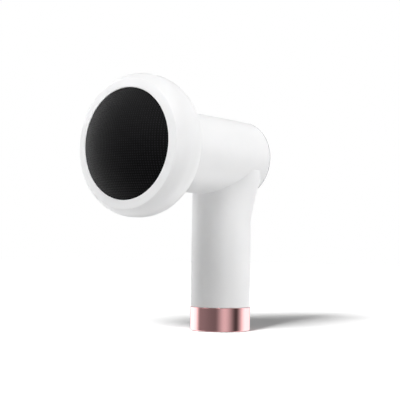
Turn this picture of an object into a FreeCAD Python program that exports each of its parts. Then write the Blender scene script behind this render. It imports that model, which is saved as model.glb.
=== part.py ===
import FreeCAD, Part
import math
import os
import re
import Sketcher

# Handheld wand massager: a round grip that stands on a metal foot, a level barrel across its top,
# and a wide round head on the barrel's front with a domed pad.
#
# Row frame, millimetres: +Z up along the grip's axis, the head faces -Y, and the origin is the middle
# of the foot's flat underside. "reach" is a distance forward from the grip's axis along the barrel's
# axis, so a negative reach is behind the grip.

V = FreeCAD.Vector

SIZES = [
    # shell: grip, barrel and the flare between them
    ("grip_radius", 22.0),
    ("grip_wall", 2.2),
    ("barrel_radius", 28.7),
    ("barrel_wall", 2.0),
    ("barrel_axis_height", 129.2),
    ("barrel_front", 80.0),
    ("rear_proud", 0.4),
    ("flare_length", 32.0),
    ("flare_width", 8.0),
    # foot
    ("band_proud", 0.3),
    ("band_wall", 1.6),
    ("band_height", 17.4),
    ("band_lift", 0.4),
    ("band_lip", 1.7),
    ("pad_inset", 1.5),
    ("foot_pad_thick", 2.0),
    ("foot_cap_thick", 3.0),
    ("ballast_thick", 13.0),
    ("ballast_gap", 1.4),
    ("foot_boss_radius", 3.6),
    ("foot_boss_height", 8.0),
    # head
    ("rim_radius", 37.8),
    ("head_depth", 26.3),
    ("lip_width", 6.2),
    ("lip_drop", 1.0),
    ("head_swell", 11.0),
    ("flank_width", 4.0),
    ("front_round_depth", 10.6),
    ("back_inset", 4.3),
    ("head_wall", 1.9),
    ("rim_wall", 1.6),
    ("rim_depth", 9.4),
    ("flange_depth", 4.1),
    ("flange_width", 11.5),
    ("cover_thick", 2.0),
    ("spigot_length", 15.0),
    ("spigot_wall", 2.2),
    ("spigot_opening", 18.4),
    # pad
    ("dome_height", 13.0),
    ("skin_thick", 1.0),
    ("foam_thick", 5.0),
    ("carrier_thick", 1.6),
    ("carrier_setback", 5.2),
    ("hook_width", 9.0),
    ("hook_length", 2.2),
    ("clamp_ring_width", 3.0),
    # neck joint
    ("web_thick", 3.0),
    ("web_width", 7.5),
    # drive
    ("motor_radius", 14.0),
    ("motor_length", 38.0),
    ("motor_rear_reach", -8.6),
    ("can_wall", 1.0),
    ("magnet_thick", 1.9),
    ("air_gap", 0.4),
    ("core_length", 18.0),
    ("core_setback", 7.5),
    ("shaft_radius", 2.0),
    ("bush_radius", 4.0),
    ("bush_length", 4.0),
    ("end_cap_thick", 4.0),
    ("commutator_radius", 4.4),
    ("commutator_length", 6.0),
    ("brush_width", 3.0),
    ("brush_height", 4.0),
    ("motor_screw_circle", 8.5),
    ("plate_thick", 2.6),
    ("post_radius", 2.6),
    ("weight_radius", 13.0),
    ("weight_length", 9.0),
    ("weight_hub_radius", 5.0),
    ("weight_gap", 4.0),
    ("bearing_radius", 6.5),
    ("bearing_width", 5.0),
    ("ball_radius", 1.3),
    ("ball_circle", 4.25),
    ("race_gap", 1.1),
    ("cage_wall", 1.0),
    ("cage_length", 3.6),
    ("bearing_seat_wall", 2.4),
    ("cradle_length", 5.0),
    # rear end
    ("trim_thick", 1.1),
    ("trim_width", 2.2),
    ("rear_cover_thick", 2.2),
    ("rear_skirt", 4.6),
    ("button_radius", 8.0),
    ("button_proud", 0.8),
    ("button_flange", 1.6),
    ("light_ring_width", 1.5),
    ("board_thick", 1.6),
    ("switch_side", 6.2),
    ("switch_height", 3.6),
    ("plunger_radius", 1.6),
    ("plunger_length", 3.0),
    ("plunger_proud", 1.5),
    ("rear_post_radius", 2.4),
    ("led_circle", 12.5),
    ("counterweight_width", 3.7),
    ("counterweight_length", 17.4),
    # battery and charging
    ("cell_radius", 9.2),
    ("cell_length", 65.0),
    ("cell_base_height", 30.6),
    ("cell_cap_thick", 2.6),
    ("pack_board_thick", 1.2),
    ("socket_height", 35.0),
    ("socket_width", 8.9),
    ("socket_tall", 3.2),
    ("socket_depth", 6.8),
    ("socket_shell", 0.35),
    ("socket_margin", 0.6),
    # fixings, leads and fits
    ("screw_radius", 1.25),
    ("screw_head_radius", 2.3),
    ("screw_head_height", 1.8),
    ("small_screw_radius", 1.0),
    ("small_head_radius", 1.9),
    ("lead_radius", 0.7),
    ("slip_gap", 0.1),
    ("run_gap", 0.03),
    ("move_gap", 0.3),
    ("seam_gap", 0.15),
]

# Sizes that follow from the ones above, so that neighbours stay together when one of those changes.
DERIVED = {
    # grip and foot
    "grip_bore": "grip_radius - grip_wall",
    "band_radius": "grip_radius + band_proud",
    "band_bore": "band_radius - band_wall",
    "band_foot": "band_lift + band_lip",
    "spigot_radius": "band_bore - slip_gap",
    "foot_pad_radius": "band_radius - pad_inset",
    "cap_top": "foot_pad_thick + foot_cap_thick",
    "ballast_top": "cap_top + ballast_thick",
    "ballast_radius": "grip_bore - ballast_gap",
    "foot_screw_circle": "grip_bore - 3.2",
    "foot_screw_seat": "foot_pad_thick + screw_head_height + 0.1",
    "housing_foot": "cap_top + slip_gap",
    # barrel
    "barrel_bore": "barrel_radius - barrel_wall",
    "barrel_rear": "grip_radius + rear_proud",
    "barrel_fit": "barrel_bore - slip_gap",
    "housing_rear": "trim_thick - barrel_rear",
    "web_reach": "barrel_front - spigot_length - web_thick",
    "web_front": "web_reach + web_thick",
    "web_opening": "barrel_bore - web_width",
    "neck_screw_circle": "barrel_bore - 3.9",
    # head
    "head_back_reach": "barrel_front + 0.3",
    "rim_reach": "head_back_reach + head_depth",
    "lip_radius": "rim_radius + lip_width",
    "lip_reach": "rim_reach - lip_drop",
    "head_radius": "rim_radius + head_swell",
    "head_widest_front": "lip_reach - front_round_depth",
    "head_widest_back": "head_widest_front - flank_width",
    "head_inside": "head_radius - head_wall",
    "head_back_radius": "head_radius - back_inset",
    "cover_radius": "head_back_radius - head_wall - slip_gap",
    "flange_reach": "head_back_reach + flange_depth",
    "flange_top": "flange_reach + cover_thick",
    "flange_inner_radius": "head_back_radius - flange_width",
    "flange_screw_circle": "head_back_radius - 7.5",
    "rim_end": "rim_reach - rim_depth",
    # pad
    "pad_edge": "rim_radius - slip_gap",
    "pad_base": "rim_reach - carrier_setback",
    "core_edge": "pad_edge - skin_thick",
    "dome_foot": "rim_reach - 0.4",
    "dome_apex": "dome_foot + dome_height",
    "core_apex": "dome_apex - skin_thick",
    "carrier_apex": "core_apex - foam_thick",
    "carrier_foot": "pad_base - carrier_thick",
    "carrier_inner": "core_edge - 3",
    "hook_inner": "pad_edge - 2.4",
    # drive
    "motor_front": "motor_rear_reach + motor_length",
    "can_bore": "motor_radius - can_wall",
    "core_radius": "can_bore - magnet_thick - air_gap",
    "core_back": "motor_front - core_setback - core_length",
    "core_front": "core_back + core_length",
    "coil_circle": "core_radius * 0.66",
    "end_cap_front": "motor_rear_reach + end_cap_thick",
    "commutator_back": "end_cap_front + 0.3",
    "commutator_front": "commutator_back + commutator_length",
    "brush_back": "end_cap_front + 1.0",
    "plate_front": "motor_front + plate_thick",
    "post_circle": "barrel_bore - 4.5",
    "weight_back": "plate_front + weight_gap",
    "weight_front": "weight_back + weight_length",
    "weight_middle": "weight_back + weight_length / 2",
    "bearing_back": "web_reach - bearing_width",
    "bearing_middle": "web_reach - bearing_width / 2",
    "bracket_back": "web_reach - plate_thick",
    "track_radius": "ball_radius + run_gap",
    "groove_half": "sqrt(track_radius^2 - race_gap^2)",
    "cradle_back": "motor_rear_reach + 11",
    "cradle_front": "cradle_back + cradle_length",
    # rear end
    "cover_out": "-barrel_rear",
    "cover_in": "rear_cover_thick - barrel_rear",
    "trim_bore": "barrel_radius - trim_width",
    "button_hole": "button_radius + move_gap",
    "light_out": "button_hole + light_ring_width",
    "flange_low": "cover_in + 0.1",
    "flange_high": "flange_low + 1.0",
    "plunger_tip": "flange_high + 0.6",
    "switch_top": "plunger_tip + plunger_proud",
    "board_rear": "switch_top + switch_height",
    "board_front": "board_rear + board_thick",
    "board_radius": "barrel_bore - 4.2",
    "rear_post_circle": "board_radius - 3.5",
    "counterweight_bore": "barrel_fit - counterweight_width",
    # battery and charging
    "cell_top": "cell_base_height + cell_length",
    "strip_top": "cell_top + cell_cap_thick + 0.3",
    "socket_back": "grip_radius - 0.7 - socket_depth",
}

doc = FreeCAD.newDocument("WandMassager")
sheet = doc.addObject("Spreadsheet::Sheet", "Sizes")
for row, (alias, value) in enumerate(SIZES, start=1):
    sheet.set(f"A{row}", alias)
    sheet.set(f"B{row}", str(value))
    sheet.setAlias(f"B{row}", alias)
doc.recompute()
ALIASES = {alias for alias, value in SIZES}
PARTS = []

GRIP = FreeCAD.Placement(V(0, 0, 0), FreeCAD.Rotation())
BARREL = FreeCAD.Placement(V(0, 0, 0), FreeCAD.Rotation(V(1, 0, 0), 90))


# ---------------------------------------------------------------- making pieces from the sheet


def bound(formula):
    """A formula of size names as FreeCAD reads it, with each name taken from the sheet."""

    def written_out(match):
        name = match[0]
        if name in DERIVED:
            return "(" + bound(DERIVED[name]) + ")"
        return "Sizes." + name if name in ALIASES else name

    return re.sub(r"[a-z_]+", written_out, str(formula))


def size(formula):
    """The plain value of a formula of size names."""
    return float(sheet.evalExpression(bound(formula)))


def bind(item, **formulas):
    """Ties properties to the sheet; a double underscore in a name stands for a dot."""
    for name, formula in formulas.items():
        item.setExpression(name.replace("__", "."), bound(formula))
    return item


def place(item, frame, x="0", y="0", z="0"):
    """Puts an item at x, y, z of a frame: GRIP is the row frame, BARREL has its z along the reach."""
    item.Placement = frame.copy()
    if frame is BARREL:
        return bind(
            item,
            Placement__Base__x=x,
            Placement__Base__y=f"-({z})",
            Placement__Base__z=f"barrel_axis_height + ({y})",
        )
    return bind(item, Placement__Base__x=x, Placement__Base__y=y, Placement__Base__z=z)


def part(item, label):
    """Names a finished piece, which becomes one node."""
    item.Label = label
    PARTS.append(item)
    return item


def new_sketch(body, name, plane):
    """An empty sketch on one of the body's own origin planes."""
    sketch = body.newObject("Sketcher::SketchObject", name)
    support = [f for f in body.Origin.OriginFeatures if f.Role == plane][0]
    sketch.AttachmentSupport = (support, [""])
    sketch.MapMode = "FlatFace"
    return sketch


def arc_through(start, end, radius, side):
    """The middle point of an arc of that radius between two points, bulging to that side of the chord."""
    chord = end - start
    half = chord.Length / 2
    across = V(chord.y, -chord.x, 0).normalize() * side
    rise = radius - math.sqrt(max(radius**2 - half**2, 0.0))
    return (start + end) * 0.5 + across * rise


def outline(sketch, points):
    """A closed outline, fully tied to the sheet.

    Each point is (x, y), or (x, y, radius, side) where an arc of that radius arrives from the point
    before it, bulging to the right of the way there for side 1 and to the left for side -1.
    """
    spots = [V(size(p[0]), size(p[1]), 0) for p in points]
    count = len(points)
    ends = []
    for i in range(count):
        start, end, arriving = spots[i], spots[(i + 1) % count], points[(i + 1) % count]
        if len(arriving) == 2:
            sketch.addGeometry(Part.LineSegment(start, end), False)
            ends.append((1, 2))
            continue
        middle = arc_through(start, end, size(arriving[2]), arriving[3])
        sketch.addGeometry(Part.Arc(start, middle, end), False)
        turn = (middle - start).cross(end - middle).z
        ends.append((1, 2) if turn > 0 else (2, 1))
    for i in range(count):
        j = (i + 1) % count
        sketch.addConstraint(Sketcher.Constraint("Coincident", i, ends[i][1], j, ends[j][0]))
    for i, point in enumerate(points):
        for axis, formula in (("DistanceX", point[0]), ("DistanceY", point[1])):
            tie(sketch, Sketcher.Constraint(axis, i, ends[i][0], size(formula)), f"{axis}{i}", formula)
        if len(point) == 4:
            radius = Sketcher.Constraint("Radius", (i - 1) % count, size(point[2]))
            tie(sketch, radius, f"Round{i}", point[2])


def tie(sketch, constraint, name, formula):
    """Adds one named constraint whose value comes from the sheet."""
    sketch.renameConstraint(sketch.addConstraint(constraint), name)
    sketch.setExpression("Constraints." + name, bound(formula))


def turned(name, frame, points):
    """A round piece: an outline of (radius, height along the frame's z) turned about the axis."""
    body = doc.addObject("PartDesign::Body", name)
    sketch = new_sketch(body, name + "_outline", "XZ_Plane")
    outline(sketch, points)
    turn = body.newObject("PartDesign::Revolution", name + "_turn")
    turn.Profile = sketch
    turn.ReferenceAxis = (sketch, ["V_Axis"])
    turn.Angle = 360
    return place(body, frame)


def ring(name, frame, inner, outer, low, high):
    """A plain ring, or a disc where the inner radius is "0"."""
    return turned(name, frame, [(inner, low), (outer, low), (outer, high), (inner, high)])


def rod(name, frame, radius, low, high, x="0", y="0"):
    """A cylinder along the frame's z axis, from low to high."""
    item = doc.addObject("Part::Cylinder", name)
    bind(item, Radius=radius, Height=f"({high}) - ({low})")
    return place(item, frame, x, y, low)


def block(name, frame, x_size, y_size, low, high, x="0", y="0"):
    """A box whose middle is at x, y of the frame, from low to high along its z axis."""
    item = doc.addObject("Part::Box", name)
    bind(item, Length=x_size, Width=y_size, Height=f"({high}) - ({low})")
    return place(item, frame, f"({x}) - ({x_size}) / 2", f"({y}) - ({y_size}) / 2", low)


def cut(name, base, *tools):
    """The base less the tools."""
    item = doc.addObject("Part::Cut", name)
    item.Base = base
    item.Tool = tools[0] if len(tools) == 1 else join(name + "_tools", *tools)
    return item


def join(name, *items):
    """One solid from several that meet or overlap."""
    item = doc.addObject("Part::MultiFuse", name)
    item.Shapes = list(items)
    return item


def group(name, *items):
    """Separate solids that share one node."""
    item = doc.addObject("Part::Compound", name)
    item.Links = list(items)
    return item


def around(count, start=0.0):
    """The cosine and sine of evenly spaced places on a circle, with a number for each."""
    for i in range(count):
        angle = math.radians(start + 360.0 * i / count)
        yield i, round(math.cos(angle), 9), round(math.sin(angle), 9)


def rods_around(name, frame, count, circle, radius, low, high, start=0.0):
    """Cylinders evenly spaced on a circle about the frame's axis."""
    return [
        rod(f"{name}_{i}", frame, radius, low, high, f"({circle}) * {c}", f"({circle}) * {s}")
        for i, c, s in around(count, start)
    ]


def screws_around(label, frame, count, circle, radius, head, seat, tip, start=0.0):
    """Pan head screws on a circle: the head lies on seat, on the side away from tip."""
    rise = "screw_head_height" if size(f"({seat}) - ({tip})") > 0 else "-screw_head_height"
    top = f"({seat}) + {rise}"
    low, high = (tip, seat) if rise[0] != "-" else (seat, tip)
    head_low, head_high = (seat, top) if rise[0] != "-" else (top, seat)
    made = []
    for i, c, s in around(count, start):
        x, y = f"({circle}) * {c}", f"({circle}) * {s}"
        shank = rod(f"{label}_shank_{i}", frame, radius, low, high, x, y)
        cap = rod(f"{label}_head_{i}", frame, head, head_low, head_high, x, y)
        cross = [
            block(f"{label}_slot_{i}_{k}", frame, a, b, f"({top}) - 0.45", f"({top}) + 0.45", x, y)
            for k, (a, b) in enumerate((("1.4 * " + radius, "0.5"), ("0.5", "1.4 * " + radius)))
        ]
        made.append(cut(f"{label}_{i}", join(f"{label}_whole_{i}", shank, cap), *cross))
    return part(group(label, *made), label)


# ---------------------------------------------------------------- shell


FLARE_SWEEP = 125.0
FLARE_STEPS = 12
FLARE_RISE = 1.35


def grip_outside():
    """The grip's outside: a straight round column whose back and sides flare into the barrel."""
    radius, width, length = size("grip_radius"), size("flare_width"), size("flare_length")
    foot = size("band_height + seam_gap")
    top = size("barrel_axis_height - barrel_radius * 0.6")
    shares = [i / FLARE_STEPS for i in range(FLARE_STEPS + 1)]
    levels = [(foot, 0.0)] + [(top - length * (1 - share), share**FLARE_RISE) for share in shares]
    levels.append((size("barrel_axis_height - barrel_radius * 0.35"), 1.0))
    wires = []
    for level, swell in levels:
        points = []
        for k in range(48):
            angle = math.radians(7.5 * k)
            from_back = abs((7.5 * k + 90) % 360 - 180)
            lobe = math.sin(math.pi * min(from_back, FLARE_SWEEP) / FLARE_SWEEP) ** 3
            reach = radius + width * swell * lobe
            points.append(V(reach * math.cos(angle), reach * math.sin(angle), level))
        curve = Part.BSplineCurve()
        curve.interpolate(points, PeriodicFlag=True)
        wires.append(Part.Wire(curve.toShape()))
    item = doc.addObject("Part::Feature", "grip_outside")
    item.Shape = Part.makeLoft(wires, True, True)
    return item


def socket_slot(name, width, tall, low, high):
    """A slot with round ends that runs along the row's +Y, for the charging socket."""
    frame = FreeCAD.Placement(V(0, 0, 0), FreeCAD.Rotation(V(1, 0, 0), -90))
    half_flat = f"(({width}) - ({tall})) / 2"
    flat = doc.addObject("Part::Box", name + "_flat")
    bind(flat, Length=f"2 * {half_flat}", Width=tall)
    places = [(flat, f"-{half_flat}", f"socket_height + ({tall}) / 2")]
    for side in (-1, 1):
        end = doc.addObject("Part::Cylinder", f"{name}_end_{side + 1}")
        bind(end, Radius=f"({tall}) / 2")
        places.append((end, f"{side} * {half_flat}", "socket_height"))
    for item, x, z in places:
        item.Placement = frame.copy()
        bind(item, Height=f"({high}) - ({low})")
        bind(item, Placement__Base__x=x, Placement__Base__y=low, Placement__Base__z=z)
    return join(name, *[item for item, x, z in places])


def main_housing():
    """Grip and barrel in one moulding, open at the foot, the rear and the front."""
    barrel = rod("barrel_outside", BARREL, "barrel_radius", "housing_rear", "barrel_front")
    spigot = rod("spigot_outside", GRIP, "spigot_radius", "housing_foot", "band_height + 5")
    outside = join("housing_outside", barrel, spigot, grip_outside())
    hollows = [
        rod("barrel_hollow", BARREL, "barrel_bore", "-barrel_rear - 2", "barrel_front + 1"),
        rod("trim_seat", BARREL, "barrel_radius + seam_gap", "-barrel_rear - 2", "housing_rear"),
        rod("grip_hollow", GRIP, "grip_bore", "0", "barrel_axis_height"),
        socket_slot(
            "socket_opening",
            "socket_width + 2 * socket_margin",
            "socket_tall + 2 * socket_margin",
            "grip_radius - 6",
            "grip_radius + 1",
        ),
    ]
    shell = cut("housing_shell", outside, *hollows)
    web = ring("neck_web", BARREL, "web_opening", "barrel_bore + 0.5", "web_reach", "web_front")
    low, high = "ballast_top + slip_gap", "ballast_top + slip_gap + foot_boss_height"
    columns = rods_around("foot_column", GRIP, 2, "foot_screw_circle", "foot_boss_radius", low, high, 90)
    bosses = doc.addObject("Part::MultiCommon", "foot_bosses")
    bosses.Shapes = [
        join("foot_columns", *columns),
        rod("foot_column_limit", GRIP, "grip_bore + 0.5", low, high),
    ]
    whole = join("housing_whole", shell, web, bosses)
    holes = rods_around(
        "web_hole", BARREL, 4, "neck_screw_circle", "screw_radius", "web_reach - 1", "web_front + 1", 45
    )
    holes += rods_around("foot_pilot", GRIP, 2, "foot_screw_circle", "screw_radius", low, high, 90)
    part(cut("main_housing", whole, *holes), "main_housing")


# ---------------------------------------------------------------- foot


def foot():
    """Metal band, bottom cap, ballast, standing pad and the screws that hold them to the grip."""
    band = turned(
        "foot_band",
        GRIP,
        [
            ("foot_pad_radius + seam_gap", "band_lift"),
            ("band_radius - 0.6", "band_lift"),
            ("band_radius", "band_lift + 0.6", "0.6", 1),
            ("band_radius", "band_height - 0.3"),
            ("band_radius - 0.3", "band_height"),
            ("band_bore", "band_height"),
            ("band_bore", "band_foot"),
            ("foot_pad_radius + seam_gap", "band_foot"),
        ],
    )
    part(band, "foot_band")
    pad = turned(
        "foot_pad",
        GRIP,
        [
            ("0", "0"),
            ("foot_pad_radius - 0.5", "0"),
            ("foot_pad_radius", "0.5", "0.5", 1),
            ("foot_pad_radius", "foot_pad_thick"),
            ("0", "foot_pad_thick"),
        ],
    )
    part(pad, "foot_pad")
    disc = ring("foot_cap_disc", GRIP, "0", "band_bore - slip_gap", "foot_pad_thick", "cap_top")
    holes = rods_around(
        "cap_sink", GRIP, 2, "foot_screw_circle", "screw_head_radius + 0.2", "foot_pad_thick - 1",
        "foot_screw_seat", 90,
    )
    holes += rods_around(
        "cap_hole", GRIP, 2, "foot_screw_circle", "screw_radius + slip_gap", "0", "band_height", 90
    )
    part(cut("foot_cap", disc, *holes), "foot_cap")
    disc = ring("ballast_disc", GRIP, "0", "ballast_radius", "cap_top", "ballast_top")
    holes = rods_around(
        "ballast_hole", GRIP, 2, "foot_screw_circle", "screw_radius + 0.4", "0", "ballast_top + 1", 90
    )
    part(cut("foot_ballast", disc, *holes), "foot_ballast")
    screws_around(
        "foot_screws", GRIP, 2, "foot_screw_circle", "screw_radius", "screw_head_radius",
        "foot_screw_seat", "ballast_top + foot_boss_height - 1.5", 90,
    )


# ---------------------------------------------------------------- head


def tangent_arc(wide, narrow, along):
    """Radius of an arc that leaves a straight side at radius wide and falls to narrow over along."""
    fall = f"(({wide}) - ({narrow}))"
    return f"({fall} * {fall} + ({along}) * ({along})) / (2 * {fall})"


def head_bezel():
    """The thick ring round the pad: rolled lip, full flank, inner wall and screw flange."""
    back_round = tangent_arc("head_radius", "head_back_radius", "head_widest_back - head_back_reach")
    front_round = tangent_arc("head_radius", "lip_radius", "lip_reach - head_widest_front")
    under_lip, under_reach = "lip_radius - head_wall / 2", "lip_reach - head_wall"
    inner_round = tangent_arc("head_inside", under_lip, f"{under_reach} - head_widest_front")
    body = turned(
        "bezel_ring",
        BARREL,
        [
            ("head_back_radius - head_wall", "head_back_reach"),
            ("head_back_radius", "head_back_reach"),
            ("head_radius", "head_widest_back", back_round, 1),
            ("head_radius", "head_widest_front"),
            ("lip_radius", "lip_reach", front_round, 1),
            ("rim_radius + 0.5", "rim_reach"),
            ("rim_radius", "rim_reach - 0.5", "0.5", 1),
            ("rim_radius", "rim_end"),
            ("rim_radius + rim_wall", "rim_end"),
            ("rim_radius + rim_wall", under_reach),
            (under_lip, under_reach),
            ("head_inside", "head_widest_front", inner_round, -1),
            ("head_inside", "flange_top"),
            ("flange_inner_radius", "flange_top"),
            ("flange_inner_radius", "flange_reach"),
            ("head_back_radius - head_wall", "flange_reach"),
        ],
    )
    holes = rods_around(
        "bezel_hole", BARREL, 6, "flange_screw_circle", "screw_radius + slip_gap", "flange_reach - 1",
        "flange_top + 1", 30,
    )
    part(cut("head_bezel", body, *holes), "head_bezel")


def head_back_cover():
    """Plate behind the bezel with a spigot that plugs into the barrel, and the head's screws."""
    spigot_inside = "barrel_fit - spigot_wall"
    plate = turned(
        "cover_plate",
        BARREL,
        [
            ("spigot_opening", "web_front"),
            ("barrel_fit", "web_front"),
            ("barrel_fit", "barrel_front"),
            ("barrel_radius", "barrel_front"),
            ("cover_radius", "head_back_reach"),
            ("cover_radius", "head_back_reach + cover_thick"),
            (spigot_inside, "head_back_reach + cover_thick"),
            (spigot_inside, "web_front + 3"),
            ("spigot_opening", "web_front + 3"),
        ],
    )
    bosses = rods_around(
        "cover_boss", BARREL, 6, "flange_screw_circle", "3", "head_back_reach + 0.5", "flange_reach", 30
    )
    holes = rods_around(
        "cover_pilot", BARREL, 6, "flange_screw_circle", "screw_radius", "head_back_reach + 1.0",
        "rim_reach", 30,
    )
    holes += rods_around(
        "cover_pass", BARREL, 4, "neck_screw_circle", "screw_radius", "web_reach", "web_front + 4", 45
    )
    holes += rods_around(
        "cover_pocket", BARREL, 4, "neck_screw_circle", "screw_head_radius + 0.3", "web_front + 3",
        "web_front + 6", 45,
    )
    part(cut("head_back_cover", join("cover_whole", plate, *bosses), *holes), "head_back_cover")
    screws_around(
        "bezel_screws", BARREL, 6, "flange_screw_circle", "screw_radius", "screw_head_radius",
        "flange_top", "head_back_reach + 1.0", 30,
    )
    screws_around(
        "neck_screws", BARREL, 4, "neck_screw_circle", "screw_radius", "screw_head_radius",
        "web_front + 3", "bracket_back + 0.4", 45,
    )


def dome_radius(rise, edge):
    """Radius of the sphere whose cap has that rise over that edge radius."""
    return f"(({edge}) * ({edge}) + ({rise}) * ({rise})) / (2 * ({rise}))"


def pad():
    """The domed massage pad: mesh skin over foam, on a carrier that snaps into the bezel."""
    skin_dome = dome_radius("dome_height", "pad_edge")
    foam_dome = dome_radius("dome_height - skin_thick", "core_edge")
    shell_dome = dome_radius("carrier_apex - pad_base", "core_edge")
    inner_dome = dome_radius("carrier_apex - pad_base", "carrier_inner")
    skin = turned(
        "pad_skin",
        BARREL,
        [
            ("core_edge", "pad_base"),
            ("pad_edge", "pad_base"),
            ("pad_edge", "dome_foot"),
            ("0", "dome_apex", skin_dome, 1),
            ("0", "core_apex"),
            ("core_edge", "dome_foot", foam_dome, -1),
        ],
    )
    part(skin, "pad_skin")
    foam = turned(
        "pad_core",
        BARREL,
        [
            ("core_edge", "pad_base", shell_dome, -1),
            ("core_edge", "dome_foot"),
            ("0", "core_apex", foam_dome, 1),
            ("0", "carrier_apex"),
        ],
    )
    part(foam, "pad_core")
    shell = turned(
        "carrier_shell",
        BARREL,
        [
            ("pad_edge", "carrier_foot"),
            ("pad_edge", "pad_base"),
            ("core_edge", "pad_base"),
            ("0", "carrier_apex", shell_dome, 1),
            ("0", "carrier_apex - carrier_thick"),
            ("carrier_inner", "carrier_foot", inner_dome, -1),
        ],
    )
    pieces = [shell]
    for i in range(4):
        angle = 45 + 90 * i
        hook_end = "rim_end - hook_length"
        pieces.append(
            spoke(f"hook_stem_{i}", angle, "hook_inner", "2.0", "hook_width", hook_end, "pad_base - 0.5")
        )
        pieces.append(
            spoke(f"hook_barb_{i}", angle, "hook_inner", "3.4", "hook_width", hook_end, "rim_end - 0.2")
        )
    part(join("pad_carrier", *pieces), "pad_carrier")
    clamp = ring(
        "pad_clamp_ring", BARREL, "pad_edge - 3 - clamp_ring_width", "pad_edge - 3", "carrier_foot - 1.6",
        "carrier_foot",
    )
    part(clamp, "pad_clamp_ring")


def spoke(name, angle, inner, length, width, low, high):
    """A box that runs outward from the barrel's axis at an angle, between two reaches."""
    item = doc.addObject("Part::Box", name)
    bind(item, Length=length, Width=width, Height=f"({high}) - ({low})")
    turn = FreeCAD.Rotation(V(1, 0, 0), 90) * FreeCAD.Rotation(V(0, 0, 1), angle)
    item.Placement = FreeCAD.Placement(V(0, 0, 0), turn)
    c, s = (round(f(math.radians(angle)), 9) for f in (math.cos, math.sin))
    return bind(
        item,
        Placement__Base__x=f"({inner}) * {c} + ({width}) / 2 * {s}",
        Placement__Base__y=f"-({low})",
        Placement__Base__z=f"barrel_axis_height + ({inner}) * {s} - ({width}) / 2 * {c}",
    )


# ---------------------------------------------------------------- drive


def motor():
    """Brushed motor: can, magnets, bushes, end cap, terminals and brushes."""
    can = turned(
        "can_turned",
        BARREL,
        [
            ("can_bore", "motor_rear_reach + 1"),
            ("motor_radius", "motor_rear_reach + 1"),
            ("motor_radius", "motor_front - 1"),
            ("motor_radius - 1", "motor_front", "1", 1),
            ("bush_radius", "motor_front"),
            ("bush_radius", "motor_front - bush_length"),
            ("bush_radius + can_wall", "motor_front - bush_length"),
            ("bush_radius + can_wall", "motor_front - 1.2"),
            ("can_bore", "motor_front - 1.2"),
        ],
    )
    threads = rods_around(
        "can_thread", BARREL, 2, "motor_screw_circle", "small_screw_radius", "motor_front - 3",
        "motor_front + 1", 90,
    )
    part(cut("motor_can", can, *threads), "motor_can")
    hoop = ring(
        "magnet_hoop", BARREL, "can_bore - magnet_thick", "can_bore", "core_back - 1", "core_front + 1"
    )
    split = block("magnet_split", BARREL, "4 * motor_radius", "9", "motor_rear_reach", "motor_front")
    part(cut("motor_magnets", hoop, split), "motor_magnets")
    for name, low in (("front_bush", "motor_front - bush_length"), ("rear_bush", "motor_rear_reach - 0.8")):
        bush = ring(name, BARREL, "shaft_radius + run_gap", "bush_radius", low, f"{low} + bush_length")
        part(bush, name)
    cap = turned(
        "end_cap_disc",
        BARREL,
        [
            ("bush_radius", "motor_rear_reach - 0.8"),
            ("bush_radius + 1.5", "motor_rear_reach - 0.8"),
            ("bush_radius + 1.5", "motor_rear_reach"),
            ("motor_radius", "motor_rear_reach"),
            ("motor_radius", "motor_rear_reach + 1"),
            ("can_bore", "motor_rear_reach + 1"),
            ("can_bore", "end_cap_front"),
            ("bush_radius", "end_cap_front"),
        ],
    )
    slots, terminals, brushes = [], [], []
    brush_front = "brush_back + brush_height"
    for i, side in enumerate((-1, 1)):
        x = f"{side} * (motor_radius - 4.5)"
        slots.append(
            block(f"terminal_slot_{i}", BARREL, "0.8", "4.0", "motor_rear_reach - 1", "end_cap_front + 1", x)
        )
        terminals.append(
            block(f"terminal_{i}", BARREL, "0.8", "4.0", "motor_rear_reach - 1.6", brush_front, x)
        )
        reach_in = "(motor_radius - 4.9 - commutator_radius - slip_gap)"
        brushes.append(
            block(
                f"brush_{i}", BARREL, reach_in, "brush_width", "brush_back", brush_front,
                f"{side} * (commutator_radius + slip_gap + {reach_in} / 2)",
            )
        )
    part(cut("motor_end_cap", cap, *slots), "motor_end_cap")
    part(group("motor_terminals", *terminals), "motor_terminals")
    part(group("motor_brushes", *brushes), "motor_brushes")


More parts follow.
